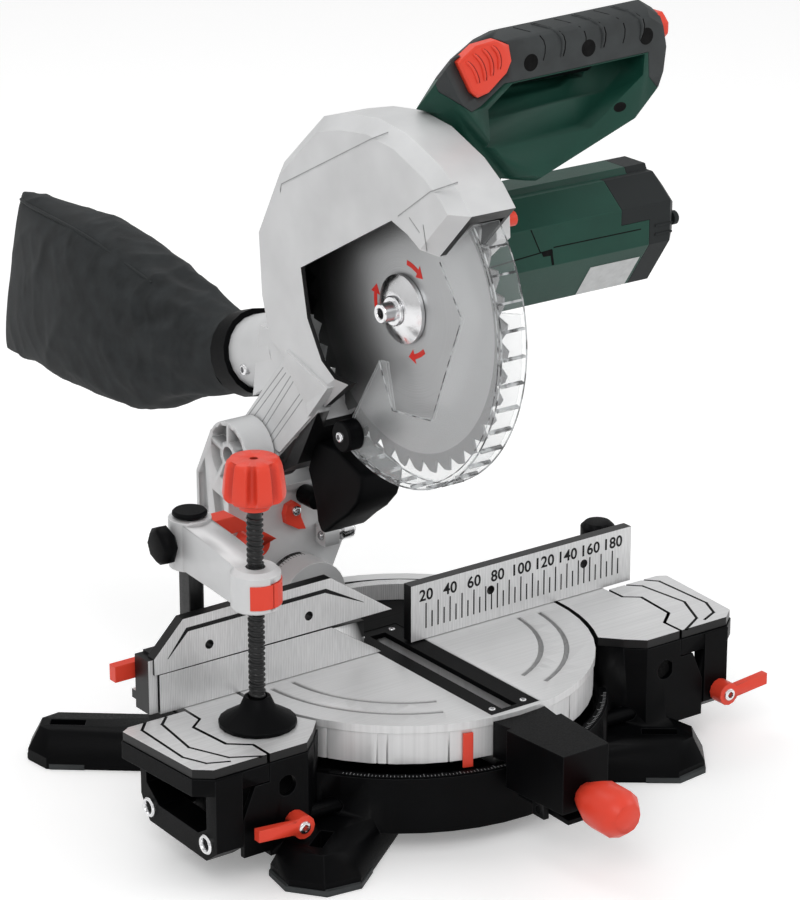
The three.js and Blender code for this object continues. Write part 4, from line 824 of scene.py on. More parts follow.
@cache
def fitting_tree():
    """A given fitting at each point, turned to face along its facing and scaled to its size."""
    tree, given, out = new_tree("Fittings", {"Fitting": "NodeSocketObject"})
    fitting = wire(tree, "GeometryNodeObjectInfo", {"Object": given.outputs["Fitting"]})
    rotation = wire(tree, "FunctionNodeAlignRotationToVector", {"Vector": attribute(tree, "facing")},
                    axis="Z")
    place_copies(tree, given, out, {"Instance": fitting.outputs["Geometry"],
                                    "Rotation": rotation.outputs[0],
                                    "Scale": attribute(tree, "size", "FLOAT")})
    return tree


@cache
def thread_tree():
    """A ridge that winds up a spindle: one turn for each pitch."""
    tree, given, out = new_tree("Thread", dict.fromkeys(("Radius", "Pitch", "Length"), "NodeSocketFloat"))
    radius, pitch, length = [given.outputs[name] for name in ("Radius", "Pitch", "Length")]
    turns = wire(tree, "ShaderNodeMath", {0: length, 1: pitch}, operation="DIVIDE")
    spiral = wire(tree, "GeometryNodeCurveSpiral", {"Resolution": 24, "Rotations": turns.outputs[0],
                  "Start Radius": radius, "End Radius": radius, "Height": length})
    half = wire(tree, "ShaderNodeMath", {0: pitch, 1: 0.30}, operation="MULTIPLY")
    ridge = wire(tree, "GeometryNodeCurvePrimitiveCircle", {"Resolution": 6, "Radius": half.outputs[0]})
    swept = wire(tree, "GeometryNodeCurveToMesh", {"Curve": spiral.outputs[0],
                 "Profile Curve": ridge.outputs[0], "Fill Caps": True})
    place_copies(tree, given, out, {"Instance": swept.outputs[0]})
    return tree


@cache
def pattern_object(draw):
    """A hidden pattern of unit radius, drawn round the origin and facing up."""
    shape = bmesh.new()
    draw(shape)
    bmesh.ops.remove_doubles(shape, verts=shape.verts, dist=1e-5)
    bmesh.ops.recalc_face_normals(shape, faces=shape.faces)
    return bpy.data.objects.new(draw.__name__, drawn(draw.__name__, shape))


def ring_pattern(shape):
    """Flat ring with a rounded rim"""
    turn(shape, "z", (0, 0), [(0.62, -0.4), (1.0, -0.4), (1.0, 0.18), (0.86, 0.34), (0.70, 0.30),
                              (0.62, 0.16), (0.62, -0.4)], 32)


def cap_pattern(shape):
    """Pan head with a cross-shaped recess"""
    sides = 32
    rings = []
    for radius, at in [(1.0, -0.5), (1.0, 0.14), (0.92, 0.32), (0.74, 0.43)]:
        rings.append([shape.verts.new((*polar(radius, 360 * k / sides), at)) for k in range(sides)])
    arm, half = 0.52, 0.15
    cross = []
    for k in range(4):
        quarter = Matrix.Rotation(math.radians(90 * k), 2)
        cross += [tuple(quarter @ Vector(corner)) for corner in ((arm, -half), (arm, half), (half, half))]
    count = len(cross)
    top = [shape.verts.new((x, y, 0.45)) for x, y in cross]
    floor = [shape.verts.new((x * 0.8, y * 0.8, 0.02)) for x, y in cross]
    for one, two in zip(rings, rings[1:]):
        skirt_faces(shape, one, two)
    edges = [shape.edges.get((rings[-1][k], rings[-1][(k + 1) % sides])) for k in range(sides)]
    inner = [shape.edges.new((top[k], top[(k + 1) % count])) for k in range(count)]
    bmesh.ops.triangle_fill(shape, use_beauty=True, edges=edges + inner)
    for face in [f for f in shape.faces if all(v in top for v in f.verts)]:
        shape.faces.remove(face)
    skirt_faces(shape, top, floor)
    shape.faces.new(floor[::-1])
    shape.faces.new(rings[0][::-1])


def fittings(name, draw, places, body):
    """Bright repeats of one pattern: (x, y, z), the way it faces and its radius, in millimetres."""
    points = [{"at": put(*at), "facing": Vector(facing), "size": radius / 1000}
              for at, facing, radius in places]
    return grown(name, points, fitting_tree(), {"Fitting": pattern_object(draw)}, "bright_steel", body)


def bars(name, places, finish, body):
    """Repeats of one bar: its middle, its size and its turn, in millimetres and degrees."""
    points = [{"at": put(*at), "size": Vector(size) / 1000, "turn": Vector(map(math.radians, turned))}
              for at, size, turned in places]
    return grown(name, points, bar_tree(), {}, finish, body)


# Operators, one for each piece or group of like pieces.


class SawOperator:
    """Options shared by the operators below"""

    bl_options = {"REGISTER", "UNDO"}


class MITRESAW_OT_stage(SawOperator, bpy.types.Operator):
    """Adds the floor, the soft lights, the even sky and the camera"""

    bl_idname = "mitresaw.stage"
    bl_label = "Stage"

    def execute(self, context):
        settings = context.scene.saw_stage
        self.floor()
        self.light("Key light", (-1.5, -1.7, 1.9), (0.0, -0.1, 0.25), 1.5, settings.key_power)
        self.light("Fill light", (1.9, -1.3, 1.2), (0.0, 0.0, 0.25), 1.2, settings.fill_power)
        self.light("Top light", (-0.1, 0.9, 2.1), (0.0, 0.0, 0.2), 1.4, settings.fill_power)
        self.sky(context.scene, settings.sky)
        self.camera(context.scene, settings.lens)
        context.scene.view_settings.view_transform = "Standard"
        return {"FINISHED"}

    def floor(self):
        """A pale floor that is near white to the camera and plain grey to the light."""
        mesh = bpy.data.meshes.new("floor")
        reach = 6.0
        corners = [(-reach, -reach, 0), (reach, -reach, 0), (reach, reach, 0), (-reach, reach, 0)]
        mesh.from_pydata(corners, [], [(0, 1, 2, 3)])
        floor = bpy.data.objects.new("floor", mesh)
        bpy.context.scene.collection.objects.link(floor)
        finish = Finish("Pale floor", (0.82, 0.82, 0.82), 0.9)
        path = finish.add("ShaderNodeLightPath").outputs
        seen = finish.larger(finish.larger(path["Is Camera Ray"], path["Is Glossy Ray"]),
                             path["Is Transmission Ray"])
        finish.use("Base Color", finish.blend(seen, (0.80, 0.80, 0.80), (1.0, 1.0, 1.0)))
        finish.set("Emission Color", (1.0, 1.0, 1.0, 1.0))
        finish.use("Emission Strength", finish.times(seen, 0.22))
        mesh.materials.append(finish.material)

    def light(self, name, position, target, width, power):
        """A round soft light that points at its target."""
        lamp = bpy.data.lights.new(name, "AREA")
        lamp.shape, lamp.size, lamp.energy = "DISK", width, power
        holder = bpy.data.objects.new(name, lamp)
        holder.location = position
        holder.rotation_euler = (Vector(target) - Vector(position)).to_track_quat("-Z", "Y").to_euler()
        bpy.context.scene.collection.objects.link(holder)

    def sky(self, scene, strength):
        """Even light, weaker from below, that the camera sees as white, through the clear guard too."""
        world = bpy.data.worlds.new("Even sky")
        scene.world = world
        world.use_nodes = True
        tree = world.node_tree
        path = wire(tree, "ShaderNodeLightPath").outputs
        seen = wire(tree, "ShaderNodeMath", {0: path["Is Camera Ray"], 1: path["Is Transmission Ray"]},
                    operation="MAXIMUM").outputs[0]
        place = wire(tree, "ShaderNodeTexCoord").outputs["Generated"]
        height = wire(tree, "ShaderNodeSeparateXYZ", {0: place}).outputs[2]
        rise = wire(tree, "ShaderNodeMapRange", {0: height, "From Min": -0.1, "From Max": 0.9,
                    "To Min": 0.55, "To Max": 1.0}).outputs[0]
        mirrored = wire(tree, "ShaderNodeMix", {0: path["Is Glossy Ray"], 2: strength, 3: rise}).outputs[0]
        level = wire(tree, "ShaderNodeMix", {0: seen, 2: mirrored, 3: 1.0}).outputs[0]
        background = tree.nodes["Background"]
        background.inputs["Color"].default_value = (1.0, 1.0, 1.0, 1.0)
        tree.links.new(level, background.inputs["Strength"])

    def camera(self, scene, lens):
        """The photo's camera, fitted to the scale, the table and the blade."""
        camera = bpy.data.cameras.new("Camera")
        camera.lens, camera.sensor_width, camera.sensor_fit = lens, 36.0, "AUTO"
        camera.clip_start, camera.clip_end = 0.05, 30.0
        holder = bpy.data.objects.new("Camera", camera)
        scene.collection.objects.link(holder)
        turned, raised = math.radians(CAMERA_TURN), math.radians(CAMERA_RISE)
        back = Vector((math.sin(turned) * math.cos(raised), -math.cos(turned) * math.cos(raised),
                       math.sin(raised)))
        right = Vector((math.cos(turned), math.sin(turned), 0.0))
        up = back.cross(right)
        view = Matrix((right, up, back)).transposed().to_4x4()
        view.translation = CAMERA_PLACE
        holder.matrix_world = view
        scene.camera = holder


class MITRESAW_OT_base(SawOperator, bpy.types.Operator):
    """Finishes the base, plates and extensions and adds rings, inlays, screws, scale marks and pads"""

    bl_idname = "mitresaw.base"
    bl_label = "Base and extensions"

    inlay_lines = (((189, -5), (197, -13), (202, -52), (190, -79), (171, -90)),
                   ((204, -4), (212, -13), (213, -62), (206, -78), (193, -84)))

    def execute(self, context):
        dress("base_casting", "black_casting")
        dress("front_arm", "black_casting")
        for side, word in ((-1, "left"), (1, "right")):
            paint(f"table_plate_{word}", "milled_plate")
            paint(f"extension_plate_{word}", "milled_plate")
            dress(f"extension_frame_{word}", "black_casting")
            dress(f"extension_lock_{word}", "red_moulding")
            self.inlays(side, word)
            rings = [((side * 208.0, y, -54.0), (side, 0, 0), 6.6) for y in (-80.0, -14.0)]
            fittings(f"rod_rings_{word}", ring_pattern, rings, f"extension_{word}")
        for word, x, y in (("left", -149.0, -101.0), ("right", 201.0, -102.0)):
            fittings(f"lever_screw_{word}", cap_pattern, [((x, y, -51.0), (0, -1, 0), 4.4)], f"lever_{word}")
        paint("mitre_scale", "black_moulding")
        self.scale()
        self.feet()
        return {"FINISHED"}

    def inlays(self, side, word):
        """Two black lines sunk into an extension's plate."""
        shape = bmesh.new()
        for line in self.inlay_lines:
            points = [Vector((side * x, y)) for x, y in line]
            points[0] += (points[1] - points[0]).normalized() * 1.2
            points[-1] += (points[-2] - points[-1]).normalized() * 1.6
            extrude(shape, "z", strip(points, 1.9), -0.86, -0.12)
        from_bmesh(f"plate_inlays_{word}", shape, "black_moulding", f"extension_{word}")

    def scale(self):
        """A mark for each degree of the mitre, longer at every fifth."""
        places = []
        for degrees in range(-52, 53):
            angle = 270 + degrees
            tall = 3.4 if degrees % 5 == 0 else 1.9
            x, y = polar(136.4 - tall / 2, angle)
            places.append(((x, y, -31.95), (tall, 0.34, 0.16), (0, 0, angle)))
        bars("mitre_scale_marks", places, "grey_print", "base")

    def feet(self):
        """Soft pads round the four feet's ends, each in two steps."""
        shape = bmesh.new()
        proud, wall = 0.8, 1.2
        for angle, end, width in ((217, 203, 60), (323, 203, 60), (141, 252, 48), (39, 252, 48)):
            half = width / 2
            way = Matrix.Rotation(math.radians(angle), 2)
            for low, high, inset in ((-84.9, -81.2, 0.0), (-81.2, -80.4, 1.0)):
                tip, edge = end + proud - inset, half + proud - inset
                plan = [(end - 40, -edge), (end - 17, -edge), (tip, 17 - edge), (tip, edge - 17),
                        (end - 17, edge), (end - 40, edge)]
                inner = [(min(u, end - wall), within(v, wall - half, half - wall)) for u, v in plan]
                outlines = [[tuple(way @ Vector(spot)) for spot in line] for line in (plan, inner)]
                self.collar(shape, *outlines, low, high)
        from_bmesh("foot_pads", shape, "grip_rubber", "base")

    def collar(self, shape, outer, inner, low, high):
        """A band of wall between two outlines of as many points."""
        rows = [[shape.verts.new((x, y, z)) for x, y in line]
                for line, z in ((outer, low), (outer, high), (inner, high), (inner, low))]
        last = len(outer) - 1
        for k in range(last):
            for one, two in zip(rows, rows[1:] + rows[:1]):
                shape.faces.new((one[k], one[k + 1], two[k + 1], two[k]))
        for k in (0, last):
            shape.faces.new([row[k] for row in rows])


class MITRESAW_OT_table(SawOperator, bpy.types.Operator):
    """Finishes the turning table, its kerf insert, pointer, lock handle and detent lever"""

    bl_idname = "mitresaw.table"
    bl_label = "Turning table"

    def execute(self, context):
        dress("turntable", "turned_table")
        paint("kerf_insert", "black_moulding")
        dress("bevel_barrel", "silver_casting")
        paint("mitre_pointer", "red_moulding")
        dress("mitre_lock_handle", "red_moulding", 40)
        paint("detent_lever", "black_moulding")
        screws = [((x, y, -0.9), (0, 0, 1), 2.4) for y in (-116.0, 28.0) for x in (-13.0, 12.0)]
        fittings("kerf_screws", cap_pattern, screws, "table")
        self.barrel_scale()
        return {"FINISHED"}

    def barrel_scale(self):
        """Marks of the bevel scale on the barrel's top."""
        places = []
        for degrees in range(-10, 51):
            tall = 6.5 if degrees % 5 == 0 else 3.6
            x, z = polar(25.98, 90 + degrees)
            places.append(((x, 126.4 - tall / 2, z), (0.3, tall, 0.22), (0, -degrees, 0)))
        bars("bevel_scale_marks", places, "ink", "table")


class MITRESAW_OT_fence(SawOperator, bpy.types.Operator):
    """Finishes the fences, their lever and knob, and adds the scale and the inlay"""

    bl_idname = "mitresaw.fence"
    bl_label = "Fence"

    def execute(self, context):
        paint("upper_fence", "fence_face")
        dress("fence_casting", "fence_face")
        dress("fence_lock_lever", "red_moulding")
        dress("fence_knob_right", "black_moulding", 40)
        self.ticks(sizes().tick_pitch * 1000)
        self.figures(sizes().figure_height)
        self.inlay()
        return {"FINISHED"}

    def ticks(self, pitch):
        """Upright ticks of the fence scale, taller at every whole centimetre."""
        places, first, length, low = [], 20, 165, 8
        for step in range(int(round(length / pitch)) + 1):
            x = first + step * pitch
            high = 26.0 if abs(x / 10 - round(x / 10)) < 0.01 else 19.5
            places.append(((x, -0.06, (low + high) / 2), (0.95, 0.16, high - low), (0, 0, 0)))
        bars("fence_ticks", places, "ink", "base")

    def figures(self, height):
        """Numbers from 20 to 180, each over its tick."""
        shape = bmesh.new()
        for number in range(20, 181, 20):
            text = bpy.data.curves.new(f"figure_{number}", "FONT")
            text.body, text.size, text.align_x = str(number), height, "CENTER"
            text.extrude, text.offset, text.space_character = 0.00008, 0.00022, 1.04
            holder = bpy.data.objects.new(text.name, text)
            bpy.context.scene.collection.objects.link(holder)
            mesh = plain_mesh(holder)
            bpy.data.objects.remove(holder)
            upright = Matrix.Rotation(math.pi / 2, 4, "X")
            mesh.transform(Matrix.Translation(put(number, -0.06, 28.2)) @ upright)
            shape.from_mesh(mesh)
        bmesh.ops.remove_doubles(shape, verts=shape.verts, dist=1e-6)
        finished("fence_figures", drawn("fence_figures", shape), "ink", "base")

    def inlay(self):
        """Black line along the top of the sliding fence."""
        shape = bmesh.new()
        line = [(-183.5, 37.0), (-168.6, 53.6), (-61.5, 54.4), (-31.0, 39.0)]
        extrude(shape, "y", strip(line, [0.5, 2.8, 2.8, 0.3]), -0.10, 0.2)
        from_bmesh("fence_inlay", shape, "ink", "fence_slide")


class MITRESAW_OT_clamp(SawOperator, bpy.types.Operator):
    """Finishes the hold-down clamp and adds its knob, thread, cap and release band"""

    bl_idname = "mitresaw.clamp"
    bl_label = "Hold-down clamp"

    def execute(self, context):
        dress("clamp_arm", "silver_casting")
        dress("clamp_post", "dark_steel")
        dress("clamp_release", "red_moulding")
        dress("clamp_thumb_screw", "black_moulding", 50)
        dress("clamp_pad", "black_moulding", 40)
        self.knob()
        self.spindle()
        self.post_cap()
        self.release_band()
        return {"FINISHED"}

    def release_band(self):
        """Red band that carries the release round the front of the clamp's nut."""
        inner, outer = 15.6, 16.8
        outline = arc(outer, -136, -83, 12, CLAMP_SCREW) + arc(inner, -83, -136, 12, CLAMP_SCREW)
        shape = bmesh.new()
        extrude(shape, "z", outline, 83.6, 99.4)
        from_bmesh("clamp_release_band", shape, "red_moulding", "clamp_bracket", 30)

    # height, radius and how far the hollows between the lobes reach, as a share of their depth
    knob_rows = ((146.2, 9.6, 0.0), (149.6, 10.4, 0.0), (150.4, 13.5, 0.0), (152.0, 17.6, 0.35),
                 (153.8, 19.4, 0.8), (157.0, 20.0, 1.0), (166.0, 19.2, 1.0), (174.6, 17.8, 0.9),
                 (177.6, 16.8, 0.6), (179.0, 15.0, 0.0), (179.2, 3.2, 0.0), (178.8, 2.6, 0.0),
                 (170.0, 2.4, 0.0))

    def knob(self):
        """Seven lobes that widen downwards, over a round neck."""
        lobes, sides, hollow, width = 7, 168, 4.8, 2.6
        shape = bmesh.new()
        rings = []
        for z, radius, share in self.knob_rows:
            ring = []
            for k in range(sides):
                angle = 360 * k / sides
                wave = 0.5 + 0.5 * math.cos(math.radians(lobes * angle))
                inward = hollow * share * (1 - min(1.0, width * wave)) ** 0.6
                ring.append(shape.verts.new((*polar(radius - inward, angle, CLAMP_SCREW), z)))
            rings.append(ring)
        loft(shape, rings)
        piece = from_bmesh("clamp_knob_lobed", shape, "red_moulding", "clamp_screw", 40)
        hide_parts("clamp_knob")

    def spindle(self):
        """The spindle's core with a thread wound up it."""
        low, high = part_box("clamp_spindle")
        middle = (low + high) / 2
        pitch, core = sizes().thread_pitch, (high.x - low.x) / 2 - sizes().thread_depth
        x, y, _ = middle * 1000 - Vector(ORIGIN)
        bottom, top = [end.z * 1000 - ORIGIN[2] for end in (low, high)]
        shape = bmesh.new()
        turn(shape, "z", (x, y), [(0, bottom), (core * 1000, bottom), (core * 1000, top), (0, top)], 24)
        piece = from_bmesh("clamp_spindle_core", shape, "dark_steel", "clamp_screw")
        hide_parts("clamp_spindle")
        start, end = low.z + 0.008, high.z - 0.004
        centre = [{"at": Vector((middle.x, middle.y, start))}]
        grown("clamp_thread", centre, thread_tree(), {"Radius": core, "Pitch": pitch, "Length": end - start},
              "dark_steel", "clamp_screw", 60)

    def post_cap(self):
        """Flat cap on the top of the clamp's post."""
        shape = bmesh.new()
        profile = [(0, 118.2), (10.6, 118.2), (11.4, 119), (11.4, 120.6), (10.2, 121.8), (0, 122.4)]
        turn(shape, "z", CLAMP_POST, profile, 40)
        from_bmesh("clamp_post_cap", shape, "black_moulding", "clamp_bracket", 40)


class MITRESAW_OT_tilt(SawOperator, bpy.types.Operator):
    """Finishes the tilt casting, its pins, pointer, lever, stop screw and spring"""

    bl_idname = "mitresaw.tilt"
    bl_label = "Tilt joint"

    def execute(self, context):
        dress("tilt_casting", "silver_casting")
        dress("hinge_pin", "bright_steel")
        paint("bevel_pointer", "red_moulding")
        dress("bevel_stop_screw", "bright_steel", 40)
        dress("bevel_lock_lever", "red_moulding")
        dress("transport_pin", "black_moulding", 40)
        dress("head_return_spring", "dark_steel", 70)
        fittings("pointer_screw", cap_pattern, [((-0.5, 122.6, 58.4), (0, -1, 0), 3.6)], "tilt")
        return {"FINISHED"}


class MITRESAW_OT_blade(SawOperator, bpy.types.Operator):
    """Finishes the blade with its flanges, bolt and printed arrows"""

    bl_idname = "mitresaw.blade"
    bl_label = "Blade"

    def execute(self, context):
        paint("saw_blade", "blade_steel")
        dress("outer_flange", "bright_steel", 25)
        paint("inner_flange", "bright_steel")
        self.bolt()
        paint("arbor_shaft", "bright_steel")
        paint("drive_gear", "bright_steel")
        self.arrows()
        return {"FINISHED"}

    def bolt(self):
        """Round bolt head with a collar, and a dark disc of painted shade in its socket."""
        shape = bmesh.new()
        turn(shape, "x", ARBOR, [(0, -8.9), (10.0, -8.9), (10.0, -10.6), (9.3, -11.3), (6.7, -11.5),
                                 (6.5, -12.2), (6.5, -19.6), (6.0, -20.4), (3.9, -20.4), (3.4, -19.8),
                                 (3.4, -15.0), (0, -15.0)], 48)
        piece = from_bmesh("arbor_bolt_head", shape, "bright_steel", "head", 30)
        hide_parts("arbor_bolt")
        shape = bmesh.new()
        turn(shape, "x", ARBOR, [(0, -15.2), (3.35, -15.2), (3.35, -15.05), (0, -15.05)], 24)
        from_bmesh("arbor_bolt_socket", shape, "ink", "head", 30)

    def arrows(self):
        """Three curved arrows that show which way the blade turns."""
        shape = bmesh.new()
        for middle in (0, 112, 244):
            start, neck = middle - 17, middle + 6
            shaft = arc(33.4, start, neck, 8, ARBOR) + arc(30.0, neck, start, 8, ARBOR)
            tip = [polar(radius, middle + ahead, ARBOR)
                   for radius, ahead in ((36.6, 5), (31.7, 17), (27.0, 5))]
            extrude(shape, "x", shaft, -1.04, -0.86)
            extrude(shape, "x", tip, -1.06, -0.86)
        from_bmesh("blade_arrows", shape, "red_print", "blade")


class MITRESAW_OT_guards(SawOperator, bpy.types.Operator):
    """Finishes the swing arm, both guards, the chip chute and the bag's collar"""

    bl_idname = "mitresaw.guards"
    bl_label = "Arm and guards"

    def execute(self, context):
        dress("swing_arm", "arm_casting")
        dress("upper_guard", "lined_casting", 24)
        dress("lower_guard", "clear_guard").visible_shadow = False
        self.chute()
        self.guard_edges()
        self.arm_plate()
        dress("bag_collar", "black_moulding", 40)
        self.rim_bars(sizes().guard_bars)
        self.stud()
        fittings("port_screw", cap_pattern, [((-25.2, 147.0, 159.0), (-1, 0, 0), 4.0)], "head")
        self.guard_lines()
        return {"FINISHED"}

    def rim_bars(self, count):
        """Clear bars across the lower guard's rim."""
        places, first, reach = [], 146, 140
        for k in range(count):
            angle = first + k * (reach / max(1, count - 1))
            y, z = polar(116.2, angle, ARBOR)
            places.append(((-2.0, y, z), (17.0, 1.5, 2.6), (angle - 90, 0, 0)))
        bars("guard_rim_bars", places, "clear_edge", "lower_guard_body").visible_shadow = False

    def stud(self):
        """Black stud that stands on the lower guard's side."""
        y, z = polar(101, 292, ARBOR)
        shape = bmesh.new()
        turn(shape, "x", (y, z), [(0, -25), (9.5, -25), (10.5, -24), (10.5, -13.5), (0, -13.5)], 32)
        from_bmesh("guard_stud", shape, "black_moulding", "lower_guard_body", 40)
        fittings("guard_stud_screw", cap_pattern, [((-25.4, y, z), (-1, 0, 0), 3.6)], "lower_guard_body")

    def guard_lines(self):
        """Fine lines of painted shade on the guard's left face, each with its lit edge below as a painted
        highlight.
        """
        lines = (((93.8, 297.1), (92.4, 302.6), (-8.0, 354.7), (-26.7, 363.2)),
                 ((-37.0, 311.4), (-70.7, 335.0), (-99.0, 347.6)),
                 ((-48.9, 313.5), (-59.9, 306.3)), ((-63.6, 312.4), (-67.6, 296.5)))
        for word, finish, shift in (("dark", "grey_print", 0.0), ("lit", "pale_plate", -0.9)):
            shape = bmesh.new()
            for line in lines:
                extrude(shape, "x", strip([(y, z + shift) for y, z in line], 0.7), -30.06, -29.8)
            from_bmesh(f"guard_lines_{word}", shape, finish, "head")

    def chute(self):
        """Soft skirt that throws the chips back, with rounded edges."""
        outline = [(84.6, 104.0), (79.0, 119.0), (71.2, 127.6), (51.5, 127.4), (21.0, 117.3), (22.2, 108.0),
                   (27.0, 96.5), (38.0, 85.0), (50.0, 76.2), (58.0, 69.5), (65.6, 63.2), (70.0, 63.4),
                   (74.0, 70.0), (76.0, 82.0), (80.6, 94.0)]
        shape = bmesh.new()
        extrude(shape, "x", outline, -16.9, 16.9)
        piece = from_bmesh("chip_skirt", shape, "black_moulding", "head", 50, 2.6)
        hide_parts("chip_chute")

    def guard_edges(self):
        """Edges of the clear guard: its rims and the inner edge of its side."""
        shape = bmesh.new()
        for radius, x, thick in ((116.6, -11.9, 0.55), (116.6, 7.9, 0.5), (113.4, -12.1, 0.35)):
            path = [(x, *spot) for spot in arc(radius, 139, 296, 60, ARBOR)]
            tube_along(shape, path, thick, 8)
        inner = [(289, 38.61), (268, 66.69), (234, 76.05), (169, 77.22), (139, 70.2)]
        path = [(-12.1, *polar(radius, angle, ARBOR)) for angle, radius in inner]
        for start, end in zip(path, path[1:]):
            tube_along(shape, [start, end], 0.4, 8)
        edges = from_bmesh("guard_edges", shape, "clear_edge", "lower_guard_body", 60)
        edges.visible_shadow = False

    def arm_plate(self):
        """The arm's grooved left face, its raised end over the guard and the web to the port."""
        top, right, low_right = (86.5, 190.2), (38.5, 176.9), (62.0, 150.6)
        bottom, left = (100.5, 113.6), (146.6, 122.4)
        bend_top, bend_low = (95.5, 180.0), (68.6, 157.4)
        shape = bmesh.new()
        extrude(shape, "x", [left, bend_top, bend_low, low_right, bottom], -28.7, -25.0)
        outer = [(-28.7, *bend_top), (-28.7, *bend_low), (-31.6, *low_right), (-32.2, *right), (-32.2, *top)]
        inner = [(-25.0, y, z) for _, y, z in outer]
        near, far = [[shape.verts.new(spot) for spot in row] for row in (outer, inner)]
        edges = [shape.edges.new((near[k - 1], near[k])) for k in range(len(near))]
        bmesh.ops.triangle_fill(shape, use_beauty=True, edges=edges)
        shape.faces.new(far)
        skirt_faces(shape, near, far)
        from_bmesh("arm_plate", shape, "silver_casting", "head", 20)
        shape = bmesh.new()
        web = [(128.0, 196.0), (108.0, 196.0), (84.0, 184.0), (104.0, 160.0), (126.0, 150.0), (137.0, 143.0)]
        extrude(shape, "x", web, -25.2, -12.0)
        from_bmesh("arm_fairing", shape, "silver_casting", "head", 20)
        self.arm_grooves()

    def arm_grooves(self):
        """Three pairs of fine grooves along the arm's plate, drawn as grey lines of painted shade."""
        shape = bmesh.new()
        pairs = (((94.6, 175.6), (144.0, 122.6)), ((86.0, 171.8), (128.6, 120.2)),
                 ((75.4, 162.2), (115.6, 117.2)))
        for line in pairs:
            for shift in (0.0, 4.2):
                moved = [(y - shift * 0.72, z - shift * 0.70) for y, z in line]
                extrude(shape, "x", strip(moved, 0.75), -28.76, -28.5)
        from_bmesh("arm_grooves", shape, "grey_print", "head")


class MITRESAW_OT_motor(SawOperator, bpy.types.Operator):
    """Finishes the gear case and motor and adds the bare plate, parting lines, ribs and slots"""

    bl_idname = "mitresaw.motor"
    bl_label = "Motor"

    def execute(self, context):
        dress("gear_housing", "silver_casting")
        paint("motor_housing", "green_moulding")
        paint("motor_end_cap", "cap_moulding")
        paint("stator", "copper_winding")
        paint("armature_core", "copper_winding")
        paint("armature_shaft", "bright_steel")
        paint("cooling_fan", "black_moulding")
        dress("spindle_lock", "red_moulding", 40)
        self.rating_plate()
        self.parting_lines()
        self.cap_details()
        return {"FINISHED"}

    def rating_plate(self):
        """Bare pale plate on the sloping lower face of the motor."""
        top, bottom = Vector((-22.5, 251.0)), Vector((-0.5, 218.5))
        high, low = [top.lerp(bottom, share) for share in (0.29, 0.985)]
        out = Vector((-0.828, -0.560))
        corners = ((142.5, high), (184.5, high), (184.5, low), (142.5, low))
        shape = bmesh.new()
        loft(shape, [[shape.verts.new((x, *(spot + out * lift))) for x, spot in corners]
                     for lift in (0.06, 0.26)])
        from_bmesh("rating_plate", shape, "pale_plate", "head")

    def parting_lines(self):
        """Where the motor's shells meet, with a dark sheet of painted shade in the notch beside the gear
        case.
        """
        lines = (((47.5, 258.6), (104.5, 262.2), (106.4, 251.4)), ((106.0, 263.4), (180.0, 263.0)),
                 ((87.0, 278.6), (95.2, 261.6)))
        notch = [(96.0, 261.4), (105.2, 262.0), (106.4, 251.4), (104.8, 251.6), (103.6, 258.2), (97.6, 258.4)]
        shape = bmesh.new()
        for line in lines:
            extrude(shape, "y", strip(line, 0.8), -22.58, -22.3)
        extrude(shape, "y", notch, -22.62, -22.3)
        from_bmesh("motor_parting", shape, "void", "head")

    def cap_details(self):
        """Raised ribs of the black end cap and the slotted boss on its end, whose slots are grey sheets of
        painted shade.
        """
        shape = bmesh.new()
        for z in (256.5, 262.5):
            block(shape, (192.0, 206.5), (-23.1, -22.0), (z, z + 1.4))
        boss = [(0, 215.0), (4.8, 215.0), (4.8, 218.6), (4.0, 219.4), (0, 219.4)]
        turn(shape, "x", (-11.0, 262.0), boss, 32)
        from_bmesh("cap_ribs", shape, "cap_moulding", "head", 40)
        shape = bmesh.new()
        for shift in (-2.0, 0.0, 2.0):
            block(shape, (219.2, 219.5), (-14.0, -8.0), (261.7 + shift, 262.3 + shift))
        from_bmesh("cap_slots", shape, "grey_print", "head")


